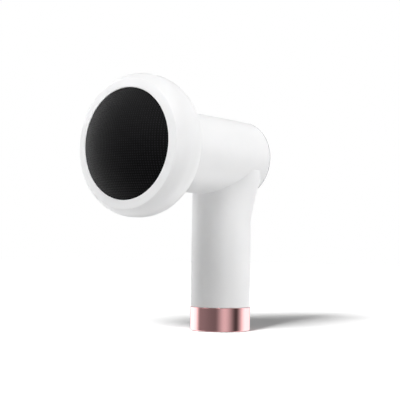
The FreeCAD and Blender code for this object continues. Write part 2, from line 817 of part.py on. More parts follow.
def rotor():
    """What turns: shaft, laminated core, windings, commutator and the eccentric weight."""
    shaft = turned(
        "drive_shaft",
        BARREL,
        [
            ("0", "motor_rear_reach - 0.6"),
            ("shaft_radius", "motor_rear_reach - 0.6"),
            ("shaft_radius", "web_reach + 0.7"),
            ("shaft_radius - 0.3", "web_reach + 1"),
            ("0", "web_reach + 1"),
        ],
    )
    part(shaft, "drive_shaft")
    stack = ring("core_stack", BARREL, "shaft_radius", "core_radius", "core_back", "core_front")
    low, high = "core_back - 1", "core_front + 1"
    slots, coils = [], []
    for i, c, s in around(5, 90):
        x, y = f"coil_circle * {c}", f"coil_circle * {s}"
        slots.append(rod(f"core_slot_{i}", BARREL, "2.45", low, high, x, y))
        slots.append(spoke(f"slot_mouth_{i}", 90 + 72 * i, "coil_circle", "5", "1.2", low, high))
        coils.append(rod(f"coil_{i}", BARREL, "2.4", "core_back - 2.2", "core_front + 2.2", x, y))
    part(cut("rotor_core", stack, *slots), "rotor_core")
    part(group("rotor_windings", *coils), "rotor_windings")
    drum = ring(
        "commutator_drum", BARREL, "shaft_radius", "commutator_radius", "commutator_back", "commutator_front"
    )
    gaps = [
        block(
            f"bar_gap_{i}", BARREL, "0.4", "0.4", "commutator_back - 1", "commutator_front + 1",
            f"commutator_radius * {c}", f"commutator_radius * {s}",
        )
        for i, c, s in around(5, 54)
    ]
    part(cut("commutator", drum, *gaps), "commutator")
    lobe = rod("weight_lobe", BARREL, "weight_radius", "weight_back", "weight_front")
    upper_half = block(
        "weight_upper_half", BARREL, "3 * weight_radius", "2 * weight_radius", "weight_back - 1",
        "weight_front + 1", "0", "weight_radius + 1",
    )
    hub = rod("weight_hub", BARREL, "weight_hub_radius", "weight_back", "weight_front + 1.5")
    bore = rod("weight_bore", BARREL, "shaft_radius", "weight_back - 1", "weight_front + 3")
    hole_top = "weight_hub_radius + 2"
    grub_hole = upright("grub_hole", "screw_radius", "weight_middle", "shaft_radius", hole_top)
    solid = join("weight_solid", cut("weight_half", lobe, upper_half), hub)
    part(cut("eccentric_weight", solid, bore, grub_hole), "eccentric_weight")
    grub = upright(
        "grub_screw", "screw_radius", "weight_middle", "shaft_radius + 0.1", "weight_hub_radius - 0.3"
    )
    part(grub, "weight_grub_screw")


def upright(name, radius, reach, low, high):
    """An upright cylinder at a reach, between two heights above the barrel's axis."""
    item = doc.addObject("Part::Cylinder", name)
    bind(item, Radius=radius, Height=f"({high}) - ({low})")
    return bind(item, Placement__Base__y=f"-({reach})", Placement__Base__z=f"barrel_axis_height + ({low})")


BALLS = 7


def bearing():
    """Ball bearing that steadies the shaft beyond the eccentric weight."""
    low, high = "bearing_middle - groove_half", "bearing_middle + groove_half"
    outer_race, inner_race = "ball_circle + race_gap", "ball_circle - race_gap"
    outer = [
        (outer_race, "bearing_back"),
        ("bearing_radius", "bearing_back"),
        ("bearing_radius", "web_reach"),
        (outer_race, "web_reach"),
        (outer_race, high),
        (outer_race, low, "track_radius", -1),
    ]
    inner = [
        ("shaft_radius", "bearing_back"),
        (inner_race, "bearing_back"),
        (inner_race, low),
        (inner_race, high, "track_radius", -1),
        (inner_race, "web_reach"),
        ("shaft_radius", "web_reach"),
    ]
    part(turned("outer_ring", BARREL, outer), "bearing_outer_ring")
    part(turned("inner_ring", BARREL, inner), "bearing_inner_ring")
    balls = []
    for i, c, s in around(BALLS, 90):
        ball = doc.addObject("Part::Sphere", f"ball_{i}")
        bind(ball, Radius="ball_radius")
        balls.append(place(ball, BARREL, f"ball_circle * {c}", f"ball_circle * {s}", "bearing_middle"))
    part(group("bearing_balls", *balls), "bearing_balls")
    pocket_ends = "bearing_middle - track_radius", "bearing_middle + track_radius"
    pockets = rods_around("cage_pocket", BARREL, BALLS, "ball_circle", "track_radius", *pocket_ends, 90)
    cage = ring(
        "cage_blank",
        BARREL,
        "ball_circle - cage_wall / 2",
        "ball_circle + cage_wall / 2",
        "bearing_middle - cage_length / 2",
        "bearing_middle + cage_length / 2",
    )
    part(cut("bearing_cage", cage, *pockets), "bearing_cage")


def drive_frame():
    """Motor plate, posts and bearing plate, which carry the drive in the barrel, with their screws."""
    disc = ring("motor_plate_disc", BARREL, "bush_radius + 2", "barrel_fit", "motor_front", "plate_front")
    low, high = "motor_front - 1", "plate_front + 1"
    holes = rods_around(
        "plate_hole", BARREL, 2, "motor_screw_circle", "small_screw_radius + slip_gap", low, high, 90
    )
    holes += rods_around(
        "plate_post_hole", BARREL, 3, "post_circle", "screw_radius + slip_gap", low, high, 90
    )
    holes += rods_around("plate_window", BARREL, 3, "post_circle - 4.5", "5", low, high, 30)
    part(cut("motor_plate", disc, *holes), "motor_plate")
    disc = ring("bearing_plate_disc", BARREL, "0", "barrel_fit", "bracket_back", "web_reach")
    hub = rod("bearing_hub", BARREL, "bearing_radius + bearing_seat_wall", "bearing_back", "web_reach")
    posts = rods_around(
        "frame_post", BARREL, 3, "post_circle", "post_radius", "plate_front", "bracket_back", 90
    )
    low, high = "bearing_back - 1", "web_reach + 1"
    holes = [rod("bearing_seat", BARREL, "bearing_radius", low, high)]
    holes += rods_around(
        "post_pilot", BARREL, 3, "post_circle", "screw_radius", "plate_front", "plate_front + 8", 90
    )
    holes += rods_around("neck_pilot", BARREL, 4, "neck_screw_circle", "screw_radius", low, high, 45)
    holes += rods_around("bearing_window", BARREL, 3, "post_circle - 6.5", "4.5", low, high, 30)
    part(cut("bearing_bracket", join("bearing_frame", disc, hub, *posts), *holes), "bearing_bracket")
    screws_around(
        "post_screws", BARREL, 3, "post_circle", "screw_radius", "screw_head_radius", "motor_front",
        "plate_front + 7", 90,
    )
    screws_around(
        "motor_screws", BARREL, 2, "motor_screw_circle", "small_screw_radius", "small_head_radius",
        "plate_front", "motor_front - 2.8", 90,
    )
    clamp = ring("cradle_clamp", BARREL, "motor_radius", "motor_radius + 2", "cradle_back", "cradle_front")
    rim = ring("cradle_rim", BARREL, "barrel_fit - 2", "barrel_fit", "cradle_back", "cradle_front")
    spokes = [
        spoke(
            f"cradle_spoke_{i}", 90 + 120 * i, "motor_radius + 1", "barrel_fit - motor_radius - 2", "4",
            "cradle_back", "cradle_front",
        )
        for i in range(3)
    ]
    part(join("motor_cradle", clamp, rim, *spokes), "motor_cradle")


# ---------------------------------------------------------------- rear end


def rear_end():
    """Trim ring, rear cover, light ring, power button, switch board and balancing counterweight."""
    trim = turned(
        "rear_trim_ring",
        BARREL,
        [
            ("trim_bore", "cover_out"),
            ("barrel_radius - 0.5", "cover_out"),
            ("barrel_radius", "cover_out + 0.5", "0.5", 1),
            ("barrel_radius", "housing_rear"),
            ("trim_bore", "housing_rear"),
        ],
    )
    part(trim, "rear_trim_ring")
    cup = turned(
        "rear_cover_cup",
        BARREL,
        [
            ("light_out", "cover_out"),
            ("trim_bore - slip_gap", "cover_out"),
            ("trim_bore - slip_gap", "housing_rear"),
            ("barrel_fit", "housing_rear + slip_gap"),
            ("barrel_fit", "cover_in + rear_skirt"),
            ("barrel_fit - 1.8", "cover_in + rear_skirt"),
            ("barrel_fit - 1.8", "cover_in"),
            ("light_out", "cover_in"),
        ],
    )
    posts = rods_around(
        "rear_post", BARREL, 3, "rear_post_circle", "rear_post_radius", "cover_in - 0.5", "board_rear", 90
    )
    pilots = rods_around(
        "rear_pilot", BARREL, 3, "rear_post_circle", "small_screw_radius", "board_rear - 4", "board_rear", 90
    )
    part(cut("rear_cover", join("rear_cover_whole", cup, *posts), *pilots), "rear_cover")
    part(ring("light_ring", BARREL, "button_hole", "light_out", "cover_out", "cover_in"), "light_ring")
    button = turned(
        "power_button",
        BARREL,
        [
            ("0", "cover_out - button_proud + 0.3"),
            ("button_radius - 1.2", "cover_out - button_proud", "button_radius * 7", -1),
            ("button_radius", "cover_out - button_proud + 1.2", "1.2", 1),
            ("button_radius", "flange_low"),
            ("button_radius + button_flange", "flange_low"),
            ("button_radius + button_flange", "flange_high"),
            ("2", "flange_high"),
            ("2", "plunger_tip - 0.05"),
            ("0", "plunger_tip - 0.05"),
        ],
    )
    part(button, "power_button")
    disc = ring("board_disc", BARREL, "0", "board_radius", "board_rear", "board_front")
    holes = rods_around(
        "board_hole", BARREL, 3, "rear_post_circle", "small_screw_radius + slip_gap", "board_rear - 1",
        "board_front + 1", 90,
    )
    part(cut("main_board", disc, *holes), "main_board")
    screws_around(
        "board_screws", BARREL, 3, "rear_post_circle", "small_screw_radius", "small_head_radius",
        "board_front", "board_rear - 4", 90,
    )
    switch = block("switch_block", BARREL, "switch_side", "switch_side", "switch_top", "board_rear")
    well = rod("switch_well", BARREL, "plunger_radius + 0.1", "switch_top - 1", "board_rear - 0.6")
    part(cut("switch_body", switch, well), "switch_body")
    plunger = rod("plunger", BARREL, "plunger_radius", "plunger_tip", "plunger_tip + plunger_length")
    part(plunger, "switch_plunger")
    lamps = [
        block(
            f"lamp_{i}", BARREL, "2.8", "2.8", "board_rear - 1.2", "board_rear", f"led_circle * {c}",
            f"led_circle * {s}",
        )
        for i, c, s in around(4, 45)
    ]
    part(group("status_lamps", *lamps), "status_lamps")
    chips = [
        block("controller_chip", BARREL, "6", "6", "board_front", "board_front + 1.0", "0", "-8"),
        block("driver_chip", BARREL, "4", "5", "board_front", "board_front + 1.6", "-6", "9"),
        rod("capacitor", BARREL, "2.2", "board_front", "board_front + 3.0", "17", "5"),
    ]
    part(group("board_components", *chips), "board_components")
    low, high = "cover_in + rear_skirt + 0.2", "cover_in + rear_skirt + 0.2 + counterweight_length"
    hoop = ring("counterweight_hoop", BARREL, "counterweight_bore", "barrel_fit", low, high)
    notch = block(
        "counterweight_notch", BARREL, "17", "barrel_bore", f"{low} - 1", f"{high} + 1", "0", "-barrel_bore"
    )
    part(cut("counterweight", hoop, notch), "counterweight")


# ---------------------------------------------------------------- battery and charging


def battery():
    """Two cells side by side between end caps, with a link strip and a protection board."""
    cells = [
        rod(f"cell_{i}", GRIP, "cell_radius", "cell_base_height", "cell_top", f"{side} * cell_radius")
        for i, side in enumerate((-1, 1))
    ]
    part(group("battery_cells", *cells), "battery_cells")
    for name, low in (
        ("battery_lower_cap", "cell_base_height - cell_cap_thick"),
        ("battery_upper_cap", "cell_top"),
    ):
        high = f"{low} + cell_cap_thick"
        disc = rod(f"{name}_disc", GRIP, "grip_bore - slip_gap", low, high)
        flats = [
            block(
                f"{name}_flat_{i}", GRIP, "5 * cell_radius", "20", f"{low} - 1", f"{high} + 1", "0",
                f"{side} * (cell_radius + 11.6)",
            )
            for i, side in enumerate((-1, 1))
        ]
        part(cut(name, disc, *flats), name)
    strip = block(
        "battery_strip", GRIP, "2 * cell_radius + 8", "6", "strip_top - 0.3", "strip_top"
    )
    part(strip, "battery_strip")
    board = block(
        "pack_board", GRIP, "16", "pack_board_thick", "cell_base_height + 4", "cell_top - 10", "0",
        "-(cell_radius + 0.3 + pack_board_thick / 2)",
    )
    part(board, "pack_board")
    chips = [
        block(
            f"pack_chip_{i}", GRIP, "5", "1.0", f"cell_base_height + {rise}",
            f"cell_base_height + {rise} + 5", "0", "-(cell_radius + 0.3 + pack_board_thick + 0.5)",
        )
        for i, rise in enumerate((12, 24, 36))
    ]
    part(group("pack_board_chips", *chips), "pack_board_chips")


def charging():
    """Charging inlet in the grip's back, on a small upright board."""
    shell = socket_slot(
        "socket_shell_outer", "socket_width", "socket_tall", "socket_back", "socket_back + socket_depth"
    )
    well = socket_slot(
        "socket_shell_inner", "socket_width - 2 * socket_shell", "socket_tall - 2 * socket_shell",
        "socket_back + 0.8", "socket_back + socket_depth + 1",
    )
    part(cut("charge_socket", shell, well), "charge_socket")
    low, high = "socket_height - 0.35", "socket_height + 0.35"
    tongue = block(
        "tongue", GRIP, "5.4", "socket_depth - 1.8", low, high, "0",
        "socket_back + 0.8 + (socket_depth - 1.8) / 2",
    )
    part(tongue, "charge_tongue")
    board = block(
        "charge_board", GRIP, "14", "1.2", "socket_height - 6", "socket_height + 7", "0", "socket_back - 0.6"
    )
    part(board, "charge_board")


def leads():
    """Insulated leads from the charge board and the battery up to the main board, and to the motor."""
    board_foot = "barrel_axis_height - board_radius"
    charge = [
        rod(f"charge_lead_{i}", GRIP, "lead_radius", "socket_height + 7", board_foot, x, "socket_back - 0.6")
        for i, x in enumerate(("-1.2", "1.2"))
    ]
    part(group("charge_leads", *charge), "charge_leads")
    power = []
    for i, side in enumerate((-1, 1)):
        x, knee_height = f"{side} * 4.5", f"{board_foot} + 4"
        rise = rod(f"power_lead_rise_{i}", GRIP, "lead_radius", "strip_top", knee_height, x, "2")
        knee = doc.addObject("Part::Sphere", f"power_lead_knee_{i}")
        bind(knee, Radius="lead_radius")
        place(knee, GRIP, x, "2", knee_height)
        run = rod(f"power_lead_run_{i}", BARREL, "lead_radius", "board_front", "-2", x, "4 - board_radius")
        power.append(join(f"power_lead_{i}", rise, knee, run))
    part(group("power_leads", *power), "power_leads")
    motor_leads = [
        rod(
            f"motor_lead_{i}", BARREL, "lead_radius", "board_front", "motor_rear_reach - 1.6",
            f"{side} * (motor_radius - 4.5)",
        )
        for i, side in enumerate((-1, 1))
    ]
    part(group("motor_leads", *motor_leads), "motor_leads")


def check_and_write():
    """Stops on any failed object, then writes one STEP file for each piece."""
    doc.recompute()
    failed = [o.Name for o in doc.Objects if "Invalid" in o.State or "Error" in o.State]
    if failed:
        raise RuntimeError(f"these objects failed: {failed}")
    for item in PARTS:
        if item.Shape.isNull() or not item.Shape.isValid() or not item.Shape.Solids:
            raise RuntimeError(f"{item.Label} is not a valid solid")
    os.makedirs("parts", exist_ok=True)
    for item in PARTS:
        item.Shape.exportStep(os.path.join("parts", item.Label + ".step"))


main_housing()
foot()
head_bezel()
head_back_cover()
pad()
motor()
rotor()
bearing()
drive_frame()
rear_end()
battery()
charging()
leads()
check_and_write()
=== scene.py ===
"""Looks of a handheld wand massager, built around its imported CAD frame.

The grip stands on its foot along +Z, and the barrel lies level across its top. "Reach" is the distance
from the grip's axis towards the pad, which faces -Y. The object's sizes are in millimetres, and become
metres where a mesh or a node is made. The studio's sizes are in metres.
"""

import logging
import math
from dataclasses import dataclass
from enum import Enum
from typing import Callable, Sequence, Union

import bmesh
import bpy
from mathutils import Matrix, Vector


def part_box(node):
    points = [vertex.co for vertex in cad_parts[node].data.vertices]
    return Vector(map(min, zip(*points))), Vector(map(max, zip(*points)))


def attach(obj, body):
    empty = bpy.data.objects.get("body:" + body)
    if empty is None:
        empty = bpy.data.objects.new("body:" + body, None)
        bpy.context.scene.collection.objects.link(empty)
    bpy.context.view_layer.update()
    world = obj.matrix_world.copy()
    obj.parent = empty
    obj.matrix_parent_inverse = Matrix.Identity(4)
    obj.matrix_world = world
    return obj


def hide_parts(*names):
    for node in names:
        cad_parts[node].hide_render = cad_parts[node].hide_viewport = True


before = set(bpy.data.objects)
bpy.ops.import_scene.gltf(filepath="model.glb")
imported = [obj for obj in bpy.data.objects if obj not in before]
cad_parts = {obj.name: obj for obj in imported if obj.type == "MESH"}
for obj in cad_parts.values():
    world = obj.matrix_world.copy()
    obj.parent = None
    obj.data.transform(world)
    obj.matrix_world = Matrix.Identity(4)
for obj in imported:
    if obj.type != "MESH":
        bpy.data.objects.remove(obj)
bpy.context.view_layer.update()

LOG = logging.getLogger("wand_massager")
MM = 0.001
SMOOTH_ANGLE = math.radians(32)  # edges that turn less than this are shaded smooth
SEGMENTS = 192  # the vertices in each ring of a turned piece
HOLE_SIDES = 24  # the sides of a rod that cuts a screw hole
LOOP_PITCH_MM = 1.6  # from one loop of the knit to the next
SUPPORT_MM = 0.3  # from a round corner to its supporting ring
MERGE_MM = 0.002  # vertices closer than this become one
NEAR_MM = 0.01  # a vertex this close to a ring's height belongs to the ring
OVERSHOOT_MM = 1.0  # how far a cutter reaches out of what it cuts
BUTTON_FLANGE_MM = 1.6  # how far the button's flange stands out past its cap

Spot = tuple[float, float]
SocketValue = Union[float, tuple, bpy.types.NodeSocket]


# ------------------------------------------------------------------ layout


@dataclass(frozen=True)
class Layout:
    """Places and radii read from the CAD frame, in millimetres."""

    axis_height: float
    barrel_radius: float
    barrel_front: float
    barrel_rear: float
    housing_rear: float
    housing_foot: float
    band_radius: float
    band_low: float
    band_top: float
    foot_pad_radius: float
    pad_radius: float
    dome_apex: float
    rim_reach: float
    head_radius: float
    head_back: float
    cover_radius: float
    button_radius: float
    button_reach: float
    light_radius: float

    @classmethod
    def from_frame(cls) -> "Layout":
        """Reads the layout from the boxes of the CAD nodes.

        Returns:
            The layout.
        """
        names = ("main_housing", "rear_trim_ring", "foot_band", "foot_pad", "pad_skin", "head_bezel",
                 "head_back_cover", "rear_cover", "power_button", "light_ring")
        low, high = {}, {}
        for name in names:
            low[name], high[name] = (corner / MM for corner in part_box(name))
        return cls(
            axis_height=(low["rear_trim_ring"].z + high["rear_trim_ring"].z) / 2,
            barrel_radius=high["rear_trim_ring"].x,
            barrel_front=-low["main_housing"].y,
            barrel_rear=-high["rear_trim_ring"].y,
            housing_rear=-low["rear_trim_ring"].y,
            housing_foot=low["main_housing"].z,
            band_radius=high["foot_band"].x,
            band_low=low["foot_band"].z,
            band_top=high["foot_band"].z,
            foot_pad_radius=high["foot_pad"].x,
            pad_radius=high["pad_skin"].x,
            dome_apex=-low["pad_skin"].y,
            rim_reach=-low["head_bezel"].y,
            head_radius=high["head_bezel"].x,
            head_back=-high["head_bezel"].y,
            cover_radius=high["head_back_cover"].x,
            button_radius=high["power_button"].x - BUTTON_FLANGE_MM,
            button_reach=-high["power_button"].y,
            light_radius=high["light_ring"].x,
        )


LAYOUT = Layout.from_frame()


class Axis(Enum):
    """The two straight lines that round pieces are turned about."""

    GRIP = "grip"
    BARREL = "barrel"

    def point(self, station: float) -> Vector:
        """The point of the axis at a station.

        Args:
            station: a height on the grip's axis or a reach on the barrel's, in millimetres.

        Returns:
            The point, in metres.
        """
        if self is Axis.GRIP:
            return Vector((0.0, 0.0, station)) * MM
        return Vector((0.0, -station, LAYOUT.axis_height)) * MM

    def step(self, distance: float) -> Vector:
        """A move of that many millimetres along the axis."""
        return self.point(distance) - self.point(0.0)

    def swell(self, ratio: float) -> Vector:
        """The scale factors that change a ring's radius by that ratio."""
        return Vector((ratio, ratio, 1.0)) if self is Axis.GRIP else Vector((ratio, 1.0, ratio))

    @property
    def turn(self) -> tuple[float, float, float]:
        """The rotation that lays a flat circle square to the axis."""
        return (0.0, 0.0, 0.0) if self is Axis.GRIP else (math.pi / 2, 0.0, 0.0)


# ------------------------------------------------------------------ modelling


class End(Enum):
    """What closes the first or last ring of a turned piece."""

    JOINED = "joined to the other end"
    FLAT = "flat"
    POLE = "drawn to a point"


class Join(Enum):
    """How two solids are combined."""

    ADD = "UNION"
    CUT = "DIFFERENCE"


def choose(piece: bpy.types.Object) -> None:
    """Makes a piece the only selected one and the active one.

    Args:
        piece: the piece.
    """
    bpy.ops.object.select_all(action="DESELECT")
    piece.select_set(True)
    bpy.context.view_layer.objects.active = piece


def add_shape(name: str, primitive: Callable[..., set], **settings: object) -> bpy.types.Object:
    """Adds one of Blender's simple shapes as a new piece.

    Args:
        name: the piece's name.
        primitive: the operator that makes the shape.
        **settings: the operator's settings.

    Returns:
        The new piece, which alone is selected.
    """
    bpy.ops.object.select_all(action="DESELECT")
    primitive(**settings)
    piece = bpy.context.object
    piece.name = name
    return piece


def edit(piece: bpy.types.Object) -> None:
    """Opens a piece in edit mode, with it alone active and nothing selected in it.

    Args:
        piece: the piece.
    """
    choose(piece)
    bpy.ops.object.mode_set(mode="EDIT")
    bpy.ops.mesh.select_all(action="DESELECT")


def pick(piece: bpy.types.Object, wanted: Callable[[Vector], bool]) -> None:
    """Selects vertices of the piece in edit mode by their place.

    Args:
        piece: the piece that is in edit mode.
        wanted: says of a vertex's place, in millimetres, whether it is selected.
    """
    bpy.ops.mesh.select_mode(type="VERT")
    mesh = bmesh.from_edit_mesh(piece.data)
    for vertex in mesh.verts:
        vertex.select_set(not vertex.hide and wanted(piece.matrix_world @ vertex.co / MM))
    mesh.select_flush_mode()
    bmesh.update_edit_mesh(piece.data)


def settle(piece: bpy.types.Object) -> bpy.types.Object:
    """Finishes a mesh: doubles merged, faces outward, place applied, and smooth where it turns gently.

    Args:
        piece: the mesh.

    Returns:
        The same piece.
    """
    edit(piece)
    bpy.ops.mesh.select_all(action="SELECT")
    bpy.ops.mesh.remove_doubles(threshold=MERGE_MM * MM)
    bpy.ops.mesh.normals_make_consistent(inside=False)
    bpy.ops.object.mode_set(mode="OBJECT")
    bpy.ops.object.transform_apply(location=True, rotation=True, scale=True)
    bpy.ops.object.shade_smooth_by_angle(angle=SMOOTH_ANGLE)
    return piece


def draw_rings(axis: Axis, start: Spot, profile: Sequence[Spot]) -> None:
    """Extrudes the selected ring along a profile.

    Args:
        axis: the line that the rings are square to.
        start: the (radius, station) of the selected ring, in millimetres.
        profile: the (radius, station) of each further ring.
    """
    radius, station = start
    for next_radius, next_station in profile:
        bpy.ops.mesh.extrude_edges_move(
            TRANSFORM_OT_translate={"value": axis.step(next_station - station)}
        )
        bpy.ops.transform.resize(
            value=axis.swell(next_radius / radius), center_override=axis.point(next_station)
        )
        radius, station = next_radius, next_station


def turned(
    name: str, axis: Axis, profile: Sequence[Spot], start: End = End.JOINED, finish: End = End.JOINED
) -> bpy.types.Object:
    """A round piece, drawn out ring by ring from a circle, as a lathe would leave it.

    Args:
        name: the piece's name.
        axis: the line it is turned about.
        profile: the (radius, station) of each ring in turn, in millimetres.
        start: how the first ring is closed.
        finish: how the last ring is closed.

    Returns:
        The finished piece.
    """
    piece = add_shape(
        name, bpy.ops.mesh.primitive_circle_add,
        vertices=SEGMENTS,
        radius=profile[0][0] * MM,
        fill_type="NGON" if start is End.FLAT else "NOTHING",
        location=axis.point(profile[0][1]),
        rotation=axis.turn,
    )
    bpy.ops.object.mode_set(mode="EDIT")
    bpy.ops.mesh.select_mode(type="EDGE")
    bpy.ops.mesh.select_all(action="SELECT")
    if start is End.FLAT:
        bpy.ops.mesh.region_to_loop()
    closing = [profile[0]] if finish is End.JOINED else []
    draw_rings(axis, profile[0], [*profile[1:], *closing])
    if finish is End.FLAT:
        bpy.ops.mesh.edge_face_add()
    elif finish is End.POLE:
        bpy.ops.mesh.merge(type="CENTER")
    bpy.ops.object.mode_set(mode="OBJECT")
    return settle(piece)


def rounded(before: Spot, knee: Spot, after: Spot, radius: float, steps: int = 4) -> list[Spot]:
    """The places of a round corner between two straight stretches of a profile.

    A supporting place on each stretch, close to the corner, keeps the stretch's shading straight.

    Args:
        before: a place on the stretch that comes in.
        knee: where the two stretches would meet.
        after: a place on the stretch that leaves.
        radius: the corner's radius.
        steps: the number of steps along the round.

    Returns:
        Places from one supporting place to the other.
    """
    corner = Vector(knee)
    into, out = (Vector(before) - corner).normalized(), (Vector(after) - corner).normalized()
    half = into.angle(out) / 2
    centre = corner + (into + out).normalized() * (radius / math.sin(half))
    first = corner + into * (radius / math.tan(half)) - centre
    sweep = math.pi - 2 * half
    if into.x * out.y - into.y * out.x > 0:
        sweep = -sweep
    spots = [centre + Matrix.Rotation(sweep * i / steps, 2) @ first for i in range(steps + 1)]
    spots = [spots[0] + into * SUPPORT_MM, *spots, spots[-1] + out * SUPPORT_MM]
    return [(spot.x, spot.y) for spot in spots]


def rolled(wide: float, narrow: float, leave: float, reach: float, steps: int = 14) -> list[Spot]:
    """The places of an arc that leaves a straight side of a profile and falls to a smaller radius.

    Args:
        wide: the side's radius.
        narrow: the radius where the arc ends.
        leave: the station where the arc leaves the side.
        reach: the station where the arc ends.
        steps: the number of steps along the arc.

    Returns:
        Places from the side to the arc's end.
    """
    fall, run = wide - narrow, abs(reach - leave)
    bend = (fall * fall + run * run) / (2 * fall)
    sweep = 2 * math.atan2(fall, run)
    way = math.copysign(1.0, reach - leave)
    angles = [sweep * i / steps for i in range(steps + 1)]
    return [(wide - bend * (1 - math.cos(a)), leave + way * bend * math.sin(a)) for a in angles]


def stations(first: float, last: float, pitch: float) -> list[float]:
    """Evenly spaced stations from first to last, about a pitch apart."""
    count = max(1, round(abs(last - first) / pitch))
    return [first + (last - first) * i / count for i in range(count + 1)]


def apply(piece: bpy.types.Object, kind: str, **settings: object) -> None:
    """Gives a piece a modifier and applies it.

    Args:
        piece: the piece.
        kind: the modifier's type.
        **settings: the modifier's own properties.
    """
    choose(piece)
    modifier = piece.modifiers.new(kind.lower(), kind)
    for name, value in settings.items():
        setattr(modifier, name, value)
    bpy.ops.object.modifier_apply(modifier=modifier.name)


def combine(piece: bpy.types.Object, how: Join, *others: bpy.types.Object) -> None:
    """Adds other solids to a piece, or cuts them away, and removes them.

    Args:
        piece: the solid that is changed.
        how: whether the others are added or cut away.
        *others: the other solids, which are used up.
    """
    for other in others:
        apply(piece, "BOOLEAN", operation=how.value, solver="EXACT", object=other)
        bpy.data.objects.remove(other, do_unlink=True)


def screw_holes(
    name: str, count: int, first: float, circle: float, radius: float, back: float, front: float
) -> list[bpy.types.Object]:
    """Rods spaced evenly round the barrel's axis, that a plate's screw holes are cut with.

    Args:
        name: what the rods' names start with.
        count: the number of holes.
        first: the first hole's angle, in degrees.
        circle: the radius of the circle that the holes lie on.
        radius: each hole's radius.
        back: the reach of the plate's back.
        front: the reach of the plate's front.

    Returns:
        The rods, each a little longer than the plate is thick.
    """
    low, high = back - OVERSHOOT_MM, front + OVERSHOOT_MM
    rods = []
    for i in range(count):
        angle = math.radians(first + 360 / count * i)
        aside = Vector((circle * math.cos(angle), 0.0, circle * math.sin(angle)))
        rods.append(add_shape(
            f"{name}_{i}", bpy.ops.mesh.primitive_cylinder_add,
            vertices=HOLE_SIDES,
            radius=radius * MM,
            depth=(high - low) * MM,
            location=Axis.BARREL.point((low + high) / 2) + aside * MM,
            rotation=Axis.BARREL.turn,
        ))
    return rods


# ------------------------------------------------------------------ finishes


def linear(colour: str) -> tuple[float, float, float, float]:
    """An sRGB hex colour as linear RGBA."""
    channels = [int(colour[i : i + 2], 16) / 255 for i in (1, 3, 5)]
    return (*[c / 12.92 if c <= 0.04045 else ((c + 0.055) / 1.055) ** 2.4 for c in channels], 1.0)


def add_node(
    tree: bpy.types.NodeTree, kind: str, inputs: dict[Union[str, int], SocketValue], **settings: object
) -> bpy.types.Node:
    """Adds a node with its settings, and fills or links its inputs.

    Args:
        tree: the node tree.
        kind: the node's type.
        inputs: a value or a socket for each named or numbered input.
        **settings: the node's own properties.

    Returns:
        The new node.
    """
    node = tree.nodes.new(kind)
    for name, value in settings.items():
        setattr(node, name, value)
    for key, value in inputs.items():
        if isinstance(value, bpy.types.NodeSocket):
            tree.links.new(value, node.inputs[key])
        else:
            node.inputs[key].default_value = value
    return node


def new_material(name: str) -> bpy.types.Material:
    """Adds a material that is drawn with nodes.

    Args:
        name: the material's name.

    Returns:
        The material.
    """
    made = bpy.data.materials.new(name)
    made.use_nodes = True
    return made


NOISE_LOW, NOISE_HIGH = 0.3, 0.7  # the values that most of a noise texture lies between
FINE_DETAIL, BROAD_DETAIL = 2.0, 3.0  # the octaves of a grain's noise and of a mottle's
LEAST_ROUGHNESS = 0.02
GLOW_SPREAD_MM = (1.0, 0.9, 0.8)  # how far red, green and blue light spreads under a milky surface


class Grain(Enum):
    """How a fine pattern runs, as the stretch of its noise along X, Y and Z."""

    EVEN = (1.0, 1.0, 1.0)
    ROUND_GRIP = (0.04, 0.04, 1.0)
    ROUND_BARREL = (0.04, 1.0, 0.04)
    ALONG_GRIP = (1.0, 1.0, 0.04)


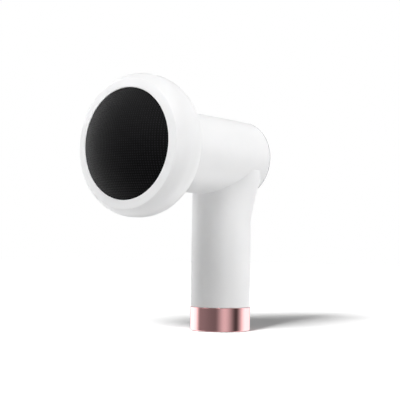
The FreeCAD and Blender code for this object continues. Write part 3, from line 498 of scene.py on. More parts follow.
@dataclass(frozen=True)
class Finish:
    """A real material and how its surface was made.

    A fine grain bends the surface and shifts its gloss, and a broad mottle shifts its colour from
    colour to shade.
    """

    name: str
    colour: str
    shade: str
    roughness: float
    metallic: float = 0.0
    grain: Grain = Grain.EVEN
    grain_mm: float = 0.5
    relief_mm: float = 0.01
    gloss_spread: float = 0.05
    mottle_mm: float = 25.0
    ior: float = 1.5
    coat: float = 0.0
    coat_roughness: float = 0.1
    sheen: float = 0.0
    transmission: float = 0.0
    subsurface: float = 0.0

    def material(self) -> bpy.types.Material:
        """The finish as a node material, made once.

        Returns:
            The material.
        """
        made = bpy.data.materials.get(self.name)
        if made is None:
            made = new_material(self.name)
            self.paint(made.node_tree, made.node_tree.nodes["Principled BSDF"])
        return made

    def paint(self, tree: bpy.types.NodeTree, shader: bpy.types.Node) -> None:
        """Adds the finish's nodes to an empty material.

        Args:
            tree: the material's node tree.
            shader: its surface shader.
        """
        place = add_node(tree, "ShaderNodeTexCoord", {}).outputs["Object"]
        patterns = []
        for across_mm, stretch, detail in (
            (self.grain_mm, self.grain.value, FINE_DETAIL),
            (self.mottle_mm, Grain.EVEN.value, BROAD_DETAIL),
        ):
            spread = add_node(
                tree, "ShaderNodeMapping",
                {"Vector": place, "Scale": tuple(part / (across_mm * MM) for part in stretch)},
            )
            noise = add_node(
                tree, "ShaderNodeTexNoise", {"Vector": spread.outputs[0], "Scale": 1.0, "Detail": detail}
            )
            patterns.append(noise.outputs["Fac"])
        fine, broad = patterns
        tint = add_node(
            tree, "ShaderNodeMix", {0: broad, 6: linear(self.colour), 7: linear(self.shade)}, data_type="RGBA"
        )
        gloss = add_node(
            tree, "ShaderNodeMapRange",
            {"Value": fine, "From Min": NOISE_LOW, "From Max": NOISE_HIGH,
             "To Min": max(self.roughness - self.gloss_spread, LEAST_ROUGHNESS),
             "To Max": self.roughness + self.gloss_spread},
        )
        bump = add_node(
            tree, "ShaderNodeBump", {"Height": fine, "Distance": self.relief_mm * MM, "Strength": 1.0}
        )
        tree.links.new(tint.outputs[2], shader.inputs["Base Color"])
        tree.links.new(gloss.outputs[0], shader.inputs["Roughness"])
        tree.links.new(bump.outputs[0], shader.inputs["Normal"])
        for socket, value in (
            ("Metallic", self.metallic), ("IOR", self.ior), ("Coat Weight", self.coat),
            ("Coat Roughness", self.coat_roughness), ("Sheen Weight", self.sheen),
            ("Transmission Weight", self.transmission), ("Subsurface Weight", self.subsurface),
        ):
            shader.inputs[socket].default_value = value
        shader.inputs["Subsurface Radius"].default_value = GLOW_SPREAD_MM
        shader.inputs["Subsurface Scale"].default_value = MM


# ------------------------------------------------------------------ the finishes of this object

# ABS, injection moulded with a fine satin texture: soft broad highlights, a clean cool white.
SATIN_ABS = Finish("satin_moulded_abs", "#F4F4F4", "#F0F0F1", 0.36, grain_mm=0.35, relief_mm=0.004,
                   subsurface=0.04)
# The same ABS moulded against a polished tool: the button, smoother to the finger.
GLOSS_ABS = Finish("gloss_moulded_abs", "#F3F3F3", "#EEEEEF", 0.14, grain_mm=0.9, relief_mm=0.003,
                   coat=0.5, coat_roughness=0.05)
# Stainless steel, mirror polished and coated in a vacuum: a warm pink mirror with faint lines round it.
ROSE_GOLD = Finish("pvd_coated_steel_rose_gold", "#EDB8B9", "#E9B2B3", 0.08, metallic=1.0,
                   grain=Grain.ROUND_GRIP, grain_mm=0.25, relief_mm=0.0006, gloss_spread=0.03)
# Brass, nickel plated to a satin: the thin grey trim round the rear.
SATIN_NICKEL = Finish("satin_nickel_plate", "#98999C", "#8E8F92", 0.22, metallic=1.0,
                      grain=Grain.ROUND_BARREL, grain_mm=0.25, relief_mm=0.0006, gloss_spread=0.03)
# Silicone rubber, compression moulded: dull dark grey that lint and light catch a little.
SILICONE = Finish("moulded_silicone_rubber", "#2B2B2D", "#353537", 0.72, grain_mm=0.6, relief_mm=0.02,
                  sheen=0.15)
# Nylon, glass filled and moulded: dull black with a faint fibre grain.
BLACK_NYLON = Finish("moulded_black_nylon", "#19191A", "#202022", 0.55, grain_mm=0.8, relief_mm=0.015)
# Acetal, moulded in its natural milky colour: slippery, slightly waxy.
ACETAL = Finish("moulded_natural_acetal", "#E6E3DA", "#DCD8CC", 0.38, grain_mm=1.0, relief_mm=0.01,
                subsurface=0.1)
# Acrylic, moulded with a frosted face, that spreads the lamps' light into a ring.
FROSTED_ACRYLIC = Finish("frosted_acrylic", "#E9EEF1", "#DDE5EA", 0.42, grain_mm=0.3, relief_mm=0.01,
                         ior=1.49, transmission=0.35, subsurface=0.2)
# Mild steel, turned and left bright: weights and the motor's laminations.
TURNED_STEEL = Finish("turned_mild_steel", "#A9A8A4", "#989792", 0.34, metallic=1.0,
                      grain=Grain.ROUND_BARREL, grain_mm=0.3, relief_mm=0.004, gloss_spread=0.08)
# Silicon steel sheet, stamped and stacked: fine dark lines across the stack.
LAMINATION = Finish("stacked_silicon_steel", "#7C7D80", "#5F6064", 0.42, metallic=1.0,
                    grain=Grain.ROUND_BARREL, grain_mm=0.5, relief_mm=0.03)
# Zinc plated steel: screws, with a faint blue bloom.
ZINC_PLATE = Finish("zinc_plated_steel", "#B9BCC0", "#A7ABB2", 0.28, metallic=1.0, grain_mm=0.7,
                    relief_mm=0.006, mottle_mm=3.0)
# Steel sheet, deep drawn and nickel plated: the motor can and the socket's shell.
DRAWN_CAN = Finish("drawn_nickel_plated_steel", "#B4B1AA", "#A5A29B", 0.27, metallic=1.0,
                   grain=Grain.ROUND_BARREL, grain_mm=0.6, relief_mm=0.004)
# Bearing steel, hardened, ground and lapped: the brightest metal inside.
LAPPED_STEEL = Finish("lapped_bearing_steel", "#C6C8CB", "#BBBEC2", 0.12, metallic=1.0,
                      grain=Grain.ROUND_BARREL, grain_mm=0.2, relief_mm=0.001, gloss_spread=0.03)
# Ferrite, pressed and sintered: charcoal grey ceramic with a faint grain.
FERRITE = Finish("sintered_ferrite", "#35363A", "#2B2C30", 0.6, grain_mm=0.5, relief_mm=0.02)
# Carbon, pressed with copper dust: the brushes.
CARBON = Finish("pressed_brush_carbon", "#2A2827", "#3B322C", 0.5, grain_mm=0.25, relief_mm=0.015,
                mottle_mm=0.8)
# Bronze, sintered and soaked in oil: dull gold with pores.
BRONZE = Finish("sintered_bronze", "#A07A46", "#8A6537", 0.45, metallic=1.0, grain_mm=0.25,
                relief_mm=0.015, mottle_mm=2.0)
# Brass strip, stamped: terminals.
BRASS = Finish("stamped_brass", "#C9A85C", "#B8974E", 0.3, metallic=1.0, grain_mm=0.5, relief_mm=0.005,
               mottle_mm=4.0)
# Copper wire, enamelled: reddish brown under clear lacquer, wound in rows.
ENAMELLED_COPPER = Finish("enamelled_copper_wire", "#B0602F", "#8F4620", 0.3, metallic=0.9,
                          grain=Grain.ROUND_BARREL, grain_mm=0.35, relief_mm=0.08, coat=0.6)
# Aluminium plate, milled.
MILLED_ALUMINIUM = Finish("milled_aluminium", "#C3C5C7", "#B3B6B9", 0.33, metallic=1.0,
                          grain=Grain.ROUND_BARREL, grain_mm=0.4, relief_mm=0.008, gloss_spread=0.08)
# Glass epoxy board under green solder mask.
SOLDER_MASK = Finish("green_solder_mask", "#14502B", "#0E3C20", 0.3, grain_mm=0.7, relief_mm=0.02,
                     mottle_mm=3.0, coat=0.3)
# Epoxy moulding compound: chips, dark and matt.
CHIP_EPOXY = Finish("moulded_epoxy", "#222224", "#2B2B2D", 0.5, grain_mm=0.2, relief_mm=0.01,
                    mottle_mm=4.0)
# Clear epoxy lens of a lamp.
LAMP_EPOXY = Finish("clear_lamp_epoxy", "#F3F0DE", "#E9E4C8", 0.12, grain_mm=0.8, relief_mm=0.004,
                    mottle_mm=2.0, transmission=0.5)
# Shrink sleeve on a lithium cell: pale blue PVC with a soft gloss.
CELL_SLEEVE = Finish("pvc_shrink_sleeve", "#3F7FA6", "#37739A", 0.3, grain=Grain.ALONG_GRIP,
                     grain_mm=1.5, relief_mm=0.02)
# Nickel strip, spot welded.
NICKEL_STRIP = Finish("welded_nickel_strip", "#BEB9AE", "#AAA59A", 0.3, metallic=1.0, grain_mm=0.8,
                      relief_mm=0.01, mottle_mm=2.5)
# PVC insulation on a thin lead.
RED_PVC = Finish("extruded_red_pvc", "#B2272B", "#A01F24", 0.4, grain_mm=0.8, relief_mm=0.01)


@dataclass(frozen=True)
class KnitFinish(Finish):
    """A knitted polyester mesh, black from its dyeing, stretched over foam.

    The loops run in rows across and up the dome. Where the rows cross, the colour is mixed towards a lighter
    glint colour: partly the paler filaments, partly a painted highlight standing in for the light they catch.
    The fine threads in each loop, thread_mm apart, are drawn about twice as coarse as real so that they show.
    """

    # painted highlight colour, mixed in where the loops' rows cross: partly paler filaments, partly painted
    # glint
    glint: str = "#232326"
    thread_mm: float = 0.55
    thread_relief_mm: float = 0.05
    thread_strength: float = 0.6
    glint_from: float = 0.4
    sheen_roughness: float = 0.35

    def _crossed(self, tree: bpy.types.NodeTree, spacing_mm: float) -> bpy.types.NodeSocket:
        """A wave over the dome that peaks where rows cross.

        Args:
            tree: the material's node tree.
            spacing_mm: the distance from one row to the next.

        Returns:
            The wave, from -2 to 2.
        """
        place = add_node(tree, "ShaderNodeTexCoord", {}).outputs["Object"]
        apart = add_node(tree, "ShaderNodeSeparateXYZ", {0: place})
        rows = []
        for side in ("X", "Z"):
            turns = add_node(
                tree, "ShaderNodeMath", {0: apart.outputs[side], 1: 2 * math.pi / (spacing_mm * MM)},
                operation="MULTIPLY",
            )
            rows.append(add_node(tree, "ShaderNodeMath", {0: turns.outputs[0]}, operation="COSINE"))
        return add_node(
            tree, "ShaderNodeMath", {0: rows[0].outputs[0], 1: rows[1].outputs[0]}, operation="ADD"
        ).outputs[0]

    def paint(self, tree: bpy.types.NodeTree, shader: bpy.types.Node) -> None:
        """Adds the finish's nodes, then threads and a painted glint over them.

        Args:
            tree: the material's node tree.
            shader: its surface shader.
        """
        super().paint(tree, shader)
        threads = add_node(
            tree, "ShaderNodeBump",
            {"Height": self._crossed(tree, self.thread_mm), "Distance": self.thread_relief_mm * MM,
             "Strength": self.thread_strength, "Normal": shader.inputs["Normal"].links[0].from_socket},
        )
        # where the rows cross, the base colour is mixed towards the glint: partly paler filaments, partly a
        # painted highlight
        crossing = add_node(
            tree, "ShaderNodeMapRange",
            {"Value": self._crossed(tree, LOOP_PITCH_MM), "From Min": self.glint_from, "From Max": 2.0},
        )
        knit_colour_with_painted_glint = add_node(
            tree, "ShaderNodeMix",
            {0: crossing.outputs[0], 6: shader.inputs["Base Color"].links[0].from_socket,
             7: linear(self.glint)},
            data_type="RGBA",
        )
        tree.links.new(knit_colour_with_painted_glint.outputs[2], shader.inputs["Base Color"])
        tree.links.new(threads.outputs[0], shader.inputs["Normal"])
        shader.inputs["Sheen Roughness"].default_value = self.sheen_roughness


# Polyester mesh knit, black from its dyeing: dull, with a soft sheen where it turns away, and a painted glint
# where its loops cross.
BLACK_KNIT = KnitFinish("black_polyester_mesh_knit", "#060607", "#040405", 0.55, grain_mm=0.3,
                        relief_mm=0.03, ior=1.16, sheen=0.04)


class Body(Enum):
    """The CAD bodies that pieces ride on."""

    HOUSING = "housing"
    BUTTON = "button"


def dress(piece: bpy.types.Object, finish: Finish, stands_for: Sequence[str],
          body: Body = Body.HOUSING) -> bpy.types.Object:
    """Gives a modelled piece its finish, slot and body, and reports it.

    Args:
        piece: the finished mesh.
        finish: its finish.
        stands_for: the CAD nodes that it replaces.
        body: the CAD body that it moves with.

    Returns:
        The same piece.
    """
    piece.data.materials.clear()
    piece.data.materials.append(finish.material())
    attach(piece, body.value)
    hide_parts(*stands_for)
    LOG.info("%s: %d faces, %s", piece.name, len(piece.data.polygons), finish.name)
    return piece


# ------------------------------------------------------------------ grip and barrel


@dataclass
class Housing:
    """Grip and barrel in one moulding: the grip's back and sides flare out into the barrel."""

    grip_radius: float = 22.0
    grip_bore: float = 19.8
    spigot_radius: float = 20.6
    barrel_bore: float = 26.7
    seam_gap: float = 0.15
    edge_round: float = 0.3
    flare_length: float = 32.0
    flare_width: float = 7.0
    flare_spread: float = 22.0
    flare_angle: float = 62.5
    flare_rise: float = 1.35
    flare_drop: float = 0.6
    flare_cap: float = 7.0
    flare_pitch: float = 2.0
    peak_angle: float = 1.0
    bore_back: float = 6.0
    socket_height: float = 35.0
    socket_width: float = 10.1
    socket_tall: float = 4.4
    slot_depth: float = 12.0
    slot_roundness: float = 0.999
    slot_steps: int = 10
    web_back: float = 62.0
    web_thick: float = 3.0
    web_opening: float = 19.2
    web_bite: float = 0.5
    screws: int = 4
    first_screw: float = 45.0
    screw_circle: float = 22.8
    screw_radius: float = 1.25
    ring_pitch: float = 4.0

    @property
    def flare_top(self) -> float:
        """The height from which the flare keeps its full width."""
        return LAYOUT.axis_height - self.flare_drop * LAYOUT.barrel_radius

    def build(self) -> None:
        """Builds the moulding from its column and barrel, hollows it and dresses it."""
        shell = self._column()
        combine(shell, Join.ADD, self._barrel())
        combine(shell, Join.CUT, *self._hollows())
        combine(shell, Join.ADD, self._web())
        settle(shell)
        dress(shell, SATIN_ABS, ["main_housing"])

    def _column(self) -> bpy.types.Object:
        """The grip as a solid column with its flare, from the spigot in the foot band up into the barrel.

        Returns:
            The column.
        """
        start = LAYOUT.band_top + self.seam_gap
        foot, top = self.flare_top - self.flare_length, self.flare_top + self.flare_cap
        straight = stations(start + self.edge_round, foot, self.ring_pitch)
        flared = stations(foot, self.flare_top, self.flare_pitch)[1:]
        profile = [
            (self.spigot_radius, LAYOUT.housing_foot),
            (self.spigot_radius, start),
            (self.grip_radius - self.edge_round, start),
            *[(self.grip_radius, height) for height in straight + flared],
            (self.grip_radius, top),
        ]
        column = turned("main_housing_shell", Axis.GRIP, profile, End.FLAT, End.FLAT)
        for height in flared + [top]:
            share = min(1.0, (height - self.flare_top + self.flare_length) / self.flare_length)
            self._swell_ring(column, height, self.flare_width * share**self.flare_rise)
            self._press_back(column, height, share)
        return column

    def _press_back(self, column: bpy.types.Object, height: float, share: float) -> None:
        """Presses the back of one ring flat, so that the flare runs up flush with the barrel's rear.

        Args:
            column: the grip's column.
            height: the ring's height.
            share: how far up the flare the ring is, from 0 to 1.
        """
        limit = self.grip_radius + (-LAYOUT.housing_rear - self.seam_gap - self.grip_radius) * share
        edit(column)
        pick(column, lambda at: abs(at.z - height) < NEAR_MM and at.y > limit)
        bpy.ops.transform.resize(value=(1, 0, 1), center_override=(0, limit * MM, 0))
        bpy.ops.object.mode_set(mode="OBJECT")

    def _swell_ring(self, column: bpy.types.Object, height: float, outward: float) -> None:
        """Pulls one ring of the column out to both sides of its back.

        Args:
            column: the grip's column.
            height: the ring's height.
            outward: how far the two widest places move out.
        """
        side, nearly = math.radians(self.flare_angle), math.cos(math.radians(self.peak_angle))
        peaks = [Vector((way * math.sin(side), math.cos(side))) for way in (-1, 1)]
        edit(column)
        pick(column, lambda at: abs(at.z - height) < NEAR_MM)
        bpy.ops.mesh.hide(unselected=True)
        bpy.ops.mesh.select_all(action="DESELECT")
        pick(column, lambda at: any(at.xy.normalized().dot(peak) > nearly for peak in peaks))
        ratio = 1 + outward / self.grip_radius
        bpy.ops.transform.resize(
            value=Axis.GRIP.swell(ratio),
            center_override=Axis.GRIP.point(height),
            use_proportional_edit=True,
            proportional_edit_falloff="SMOOTH",
            proportional_size=self.flare_spread * MM,
        )
        bpy.ops.mesh.reveal(select=False)
        bpy.ops.object.mode_set(mode="OBJECT")

    def _barrel(self) -> bpy.types.Object:
        """The barrel as a solid.

        Returns:
            The barrel.
        """
        rings = stations(LAYOUT.housing_rear, LAYOUT.barrel_front, self.ring_pitch)
        profile = [(LAYOUT.barrel_radius, reach) for reach in rings]
        return turned("barrel", Axis.BARREL, profile, End.FLAT, End.FLAT)

    def _hollows(self) -> list[bpy.types.Object]:
        """The bores of barrel and grip, the seat of the trim ring and the slot for the charging socket.

        Returns:
            The solids to cut away.
        """
        rear, front = LAYOUT.housing_rear - self.bore_back, LAYOUT.barrel_front + OVERSHOOT_MM
        bore = [(self.barrel_bore, reach) for reach in stations(rear, front, self.ring_pitch)]
        seat_radius = LAYOUT.barrel_radius + self.seam_gap
        well = [(self.grip_bore, height) for height in stations(0.0, LAYOUT.axis_height, self.ring_pitch)]
        return [
            turned("barrel_hollow", Axis.BARREL, bore, End.FLAT, End.FLAT),
            turned("trim_seat", Axis.BARREL, [(seat_radius, rear), (seat_radius, LAYOUT.housing_rear)],
                   End.FLAT, End.FLAT),
            turned("grip_hollow", Axis.GRIP, well, End.FLAT, End.FLAT),
            self._socket_slot(),
        ]

    def _socket_slot(self) -> bpy.types.Object:
        """A slot with round ends through the grip's back.

        Returns:
            The slot as a solid.
        """
        slot = add_shape(
            "socket_slot", bpy.ops.mesh.primitive_cube_add,
            size=1,
            location=(0, self.grip_radius * MM, self.socket_height * MM),
        )
        bpy.ops.transform.resize(
            value=(self.socket_width * MM, self.slot_depth * MM, self.socket_tall * MM)
        )
        bpy.ops.object.transform_apply(location=False, rotation=False, scale=True)
        edit(slot)
        bpy.ops.mesh.select_mode(type="EDGE")
        mesh = bmesh.from_edit_mesh(slot.data)
        for edge in mesh.edges:
            edge.select_set(abs((edge.verts[0].co - edge.verts[1].co).normalized().y) > 0.9)
        bmesh.update_edit_mesh(slot.data)
        bpy.ops.mesh.bevel(
            offset=self.socket_tall / 2 * self.slot_roundness * MM, segments=self.slot_steps
        )
        bpy.ops.object.mode_set(mode="OBJECT")
        return settle(slot)

    def _web(self) -> bpy.types.Object:
        """The ring inside the barrel's front, with the four holes that drive and head are screwed through.

        Returns:
            The web.
        """
        outer, front = self.barrel_bore + self.web_bite, self.web_back + self.web_thick
        web = turned("neck_web", Axis.BARREL, [
            (self.web_opening, self.web_back),
            (outer, self.web_back),
            (outer, front),
            (self.web_opening, front),
        ])
        combine(web, Join.CUT, *screw_holes(
            "web_hole", self.screws, self.first_screw, self.screw_circle, self.screw_radius,
            self.web_back, front,
        ))
        return web


# ------------------------------------------------------------------ foot


@dataclass
class Foot:
    """The metal band round the grip's foot, and the rubber pad that it stands on."""

    band_wall: float = 1.6
    band_round: float = 0.6
    band_chamfer: float = 0.3
    lip_top: float = 2.1
    gap: float = 0.15
    pad_thick: float = 2.0
    pad_round: float = 0.5
    groove_radii: tuple[float, ...] = (17.5, 15.3, 13.1)
    groove_wide: float = 0.9
    groove_deep: float = 0.5
    groove_draft: float = 0.15

    def build(self) -> None:
        """Builds and dresses both pieces."""
        dress(self._band(), ROSE_GOLD, ["foot_band"])
        dress(self._pad(), SILICONE, ["foot_pad"])

    def _band(self) -> bpy.types.Object:
        """A drawn ring, rounded at the bottom, with a lip that turns in under the grip.

        Returns:
            The band.
        """
        outside, low, top = LAYOUT.band_radius, LAYOUT.band_low, LAYOUT.band_top
        lip, bore = LAYOUT.foot_pad_radius + self.gap, outside - self.band_wall
        return turned("foot_band_ring", Axis.GRIP, [
            (lip, low),
            *rounded((lip, low), (outside, low), (outside, top), self.band_round, steps=6),
            *rounded((outside, low), (outside, top), (bore, top), self.band_chamfer),
            (bore, top),
            (bore, self.lip_top),
            (lip, self.lip_top),
        ])

    def _pad(self) -> bpy.types.Object:
        """A rubber disc with three grooves pressed into its underside.

        Returns:
            The pad.
        """
        radius = LAYOUT.foot_pad_radius
        underside = []
        for middle in self.groove_radii:
            outer, inner = middle + self.groove_wide / 2, middle - self.groove_wide / 2
            underside += [
                (outer, 0.0),
                (outer - self.groove_draft, self.groove_deep),
                (inner + self.groove_draft, self.groove_deep),
                (inner, 0.0),
            ]
        return turned("foot_pad_disc", Axis.GRIP, [
            (radius, self.pad_thick),
            *rounded((radius, self.pad_thick), (radius, 0.0), (0.0, 0.0), self.pad_round, steps=5),
            *underside,
        ], End.FLAT, End.FLAT)


# ------------------------------------------------------------------ head


@dataclass
class Head:
    """The thick white ring round the pad, and the plate behind it that plugs into the barrel."""

    wall: float = 1.9
    back_radius: float = 44.5
    widest_back: float = 91.0
    widest_front: float = 95.0
    lip_radius: float = 44.0
    lip_reach: float = 105.6
    lip_round: float = 1.2
    lip_steps: int = 3
    rim_radius: float = 37.8
    rim_round: float = 0.5
    rim_wall: float = 1.6
    rim_end: float = 97.2
    flange_back: float = 84.4
    flange_front: float = 86.4
    flange_inner: float = 33.0
    screws: int = 6
    first_screw: float = 30.0
    screw_circle: float = 37.0
    screw_radius: float = 1.35
    plate_thick: float = 2.0
    spigot_radius: float = 26.6
    spigot_inner: float = 24.4
    spigot_end: float = 65.0
    spigot_floor: float = 3.0
    spigot_opening: float = 18.4

    def build(self) -> None:
        """Builds and dresses both pieces."""
        dress(self._ring(), SATIN_ABS, ["head_bezel"])
        dress(self._plate(), SATIN_ABS, ["head_back_cover"])

    def _ring(self) -> bpy.types.Object:
        """The hollow ring: rolled back, full flank, rolled front, softened lip and inner wall.

        The softened lip takes the place of the last lip_steps steps of the rolled front.

        Returns:
            The ring.
        """
        outside = LAYOUT.head_radius
        front_roll = rolled(outside, self.lip_radius, self.widest_front, self.lip_reach)
        rim_edge, face = (self.rim_radius, LAYOUT.rim_reach), (self.lip_radius, self.lip_reach)
        under_lip, under_reach = self.lip_radius - self.wall / 2, self.lip_reach - self.wall
        ring = turned("head_bezel_ring", Axis.BARREL, [
            (self.back_radius - self.wall, LAYOUT.head_back),
            *reversed(rolled(outside, self.back_radius, self.widest_back, LAYOUT.head_back)),
            *front_roll[: -self.lip_steps],
            *rounded(front_roll[-self.lip_steps - 1], face, rim_edge, self.lip_round, steps=8),
            *rounded(face, rim_edge, (self.rim_radius, self.rim_end), self.rim_round, steps=5),
            (self.rim_radius, self.rim_end),
            (self.rim_radius + self.rim_wall, self.rim_end),
            (self.rim_radius + self.rim_wall, under_reach),
            *reversed(rolled(outside - self.wall, under_lip, self.widest_front, under_reach, steps=8)),
            (outside - self.wall, self.flange_front),
            (self.flange_inner, self.flange_front),
            (self.flange_inner, self.flange_back),
            (self.back_radius - self.wall, self.flange_back),
        ])
        combine(ring, Join.CUT, *screw_holes(
            "flange_hole", self.screws, self.first_screw, self.screw_circle, self.screw_radius,
            self.flange_back, self.flange_front,
        ))
        return settle(ring)

    def _plate(self) -> bpy.types.Object:
        """The plate behind the ring, with the hollow spigot that sits in the barrel.

        Returns:
            The plate.
        """
        front = LAYOUT.head_back + self.plate_thick
        floor = self.spigot_end + self.spigot_floor
        return turned("head_back_plate", Axis.BARREL, [
            (self.spigot_opening, self.spigot_end),
            (self.spigot_radius, self.spigot_end),
            (self.spigot_radius, LAYOUT.barrel_front),
            (LAYOUT.barrel_radius, LAYOUT.barrel_front),
            (LAYOUT.cover_radius, LAYOUT.head_back),
            (LAYOUT.cover_radius, front),
            (self.spigot_inner, front),
            (self.spigot_inner, floor),
            (self.spigot_opening, floor),
        ])


# ------------------------------------------------------------------ pad


@dataclass
class Pad:
    """The domed pad: black mesh knit stretched tight over foam, its rows of loops level and upright."""

    base_reach: float = 101.4
    foot_reach: float = 106.2
    core_radius: float = 36.7
    carrier_apex: float = 113.2
    loop_pitch: float = LOOP_PITCH_MM
    loop_rim: float = 0.36
    loop_rise: float = 0.22
    grid_clear: float = 5.0
    form_angle: float = 42.0
    form_steps: int = 40
    form_tip: float = 0.02
    trim_sides: int = 96
    carrier_steps: int = 8

    @property
    def dome_bend(self) -> float:
        """The radius of the sphere that the dome is part of."""
        rise = LAYOUT.dome_apex - self.foot_reach
        return (LAYOUT.pad_radius**2 + rise**2) / (2 * rise)

    def build(self) -> None:
        """Builds the pad and dresses it."""
        pad = self._knit()
        self._trim(pad)
        apply(pad, "SUBSURF", levels=1, render_levels=1)
        self._close(pad)
        dress(pad, BLACK_KNIT, ["pad_skin", "pad_core"])

    def _dome_form(self) -> bpy.types.Object:
        """A smooth dome, a little wider than the pad, that the knit is stretched over.

        Returns:
            The dome.
        """
        bend, top = self.dome_bend, LAYOUT.dome_apex - self.loop_rise
        angles = [math.radians(self.form_angle) * (1 - i / self.form_steps) for i in range(self.form_steps)]
        profile = [(bend * math.sin(a), top - bend * (1 - math.cos(a))) for a in angles]
        return turned("dome_form", Axis.BARREL, profile + [(self.form_tip, top)], End.FLAT, End.POLE)

    def _knit(self) -> bpy.types.Object:
        """A square grid of loops laid on the dome, each raised to a small cushion.

        Returns:
            The knit, wider than the pad and still square.
        """
        count = 2 * math.ceil((LAYOUT.pad_radius + self.loop_pitch) / self.loop_pitch)
        pad = add_shape(
            "pad_cushion", bpy.ops.mesh.primitive_grid_add,
            x_subdivisions=count,
            y_subdivisions=count,
            size=count * self.loop_pitch * MM,
            location=Axis.BARREL.point(LAYOUT.dome_apex + self.grid_clear),
            rotation=Axis.BARREL.turn,
        )
        bpy.ops.object.transform_apply(location=True, rotation=True, scale=True)
        form = self._dome_form()
        apply(pad, "SHRINKWRAP", target=form, wrap_method="PROJECT", use_project_y=True)
        bpy.data.objects.remove(form, do_unlink=True)
        edit(pad)
        bpy.ops.mesh.select_mode(type="FACE")
        bpy.ops.mesh.select_all(action="SELECT")
        bpy.ops.mesh.normals_make_consistent(inside=False)
        bpy.ops.mesh.inset(thickness=self.loop_rim * MM, depth=self.loop_rise * MM, use_individual=True)
        bpy.ops.object.mode_set(mode="OBJECT")
        return pad

    def _trim(self, pad: bpy.types.Object) -> None:
        """Cuts the knit to a round outline.

        Args:
            pad: the knit.
        """
        edit(pad)
        bpy.ops.mesh.select_mode(type="FACE")
        for i in range(self.trim_sides):
            angle = 2 * math.pi * i / self.trim_sides
            outward = Vector((math.cos(angle), 0.0, math.sin(angle)))
            bpy.ops.mesh.select_all(action="SELECT")
            bpy.ops.mesh.bisect(
                plane_co=Axis.BARREL.point(0) + outward * LAYOUT.pad_radius * MM, plane_no=outward,
                clear_outer=True,
            )
        bpy.ops.object.mode_set(mode="OBJECT")

    def _close(self, pad: bpy.types.Object) -> None:
        """Carries the trimmed edge back into the ring and closes the foam's underside over its carrier.

        Args:
            pad: the trimmed knit.
        """
        edit(pad)
        bpy.ops.mesh.select_mode(type="EDGE")
        bpy.ops.mesh.select_all(action="SELECT")
        bpy.ops.mesh.region_to_loop()
        bpy.ops.mesh.extrude_edges_move(
            TRANSFORM_OT_translate={"value": Axis.BARREL.step(self.base_reach - self.foot_reach)}
        )
        bpy.ops.transform.resize(value=(1, 0, 1), center_override=Axis.BARREL.point(self.base_reach))
        rise = self.carrier_apex - self.base_reach
        bend = (self.core_radius**2 + rise**2) / (2 * rise)
        tilt = math.asin(self.core_radius / bend)
        angles = [tilt * (1 - i / self.carrier_steps) for i in range(self.carrier_steps)]
        underside = [(bend * math.sin(a), self.carrier_apex - bend * (1 - math.cos(a))) for a in angles]
        draw_rings(Axis.BARREL, (LAYOUT.pad_radius, self.base_reach), underside)
        bpy.ops.mesh.merge(type="CENTER")
        bpy.ops.object.mode_set(mode="OBJECT")
        settle(pad)


# ------------------------------------------------------------------ rear end


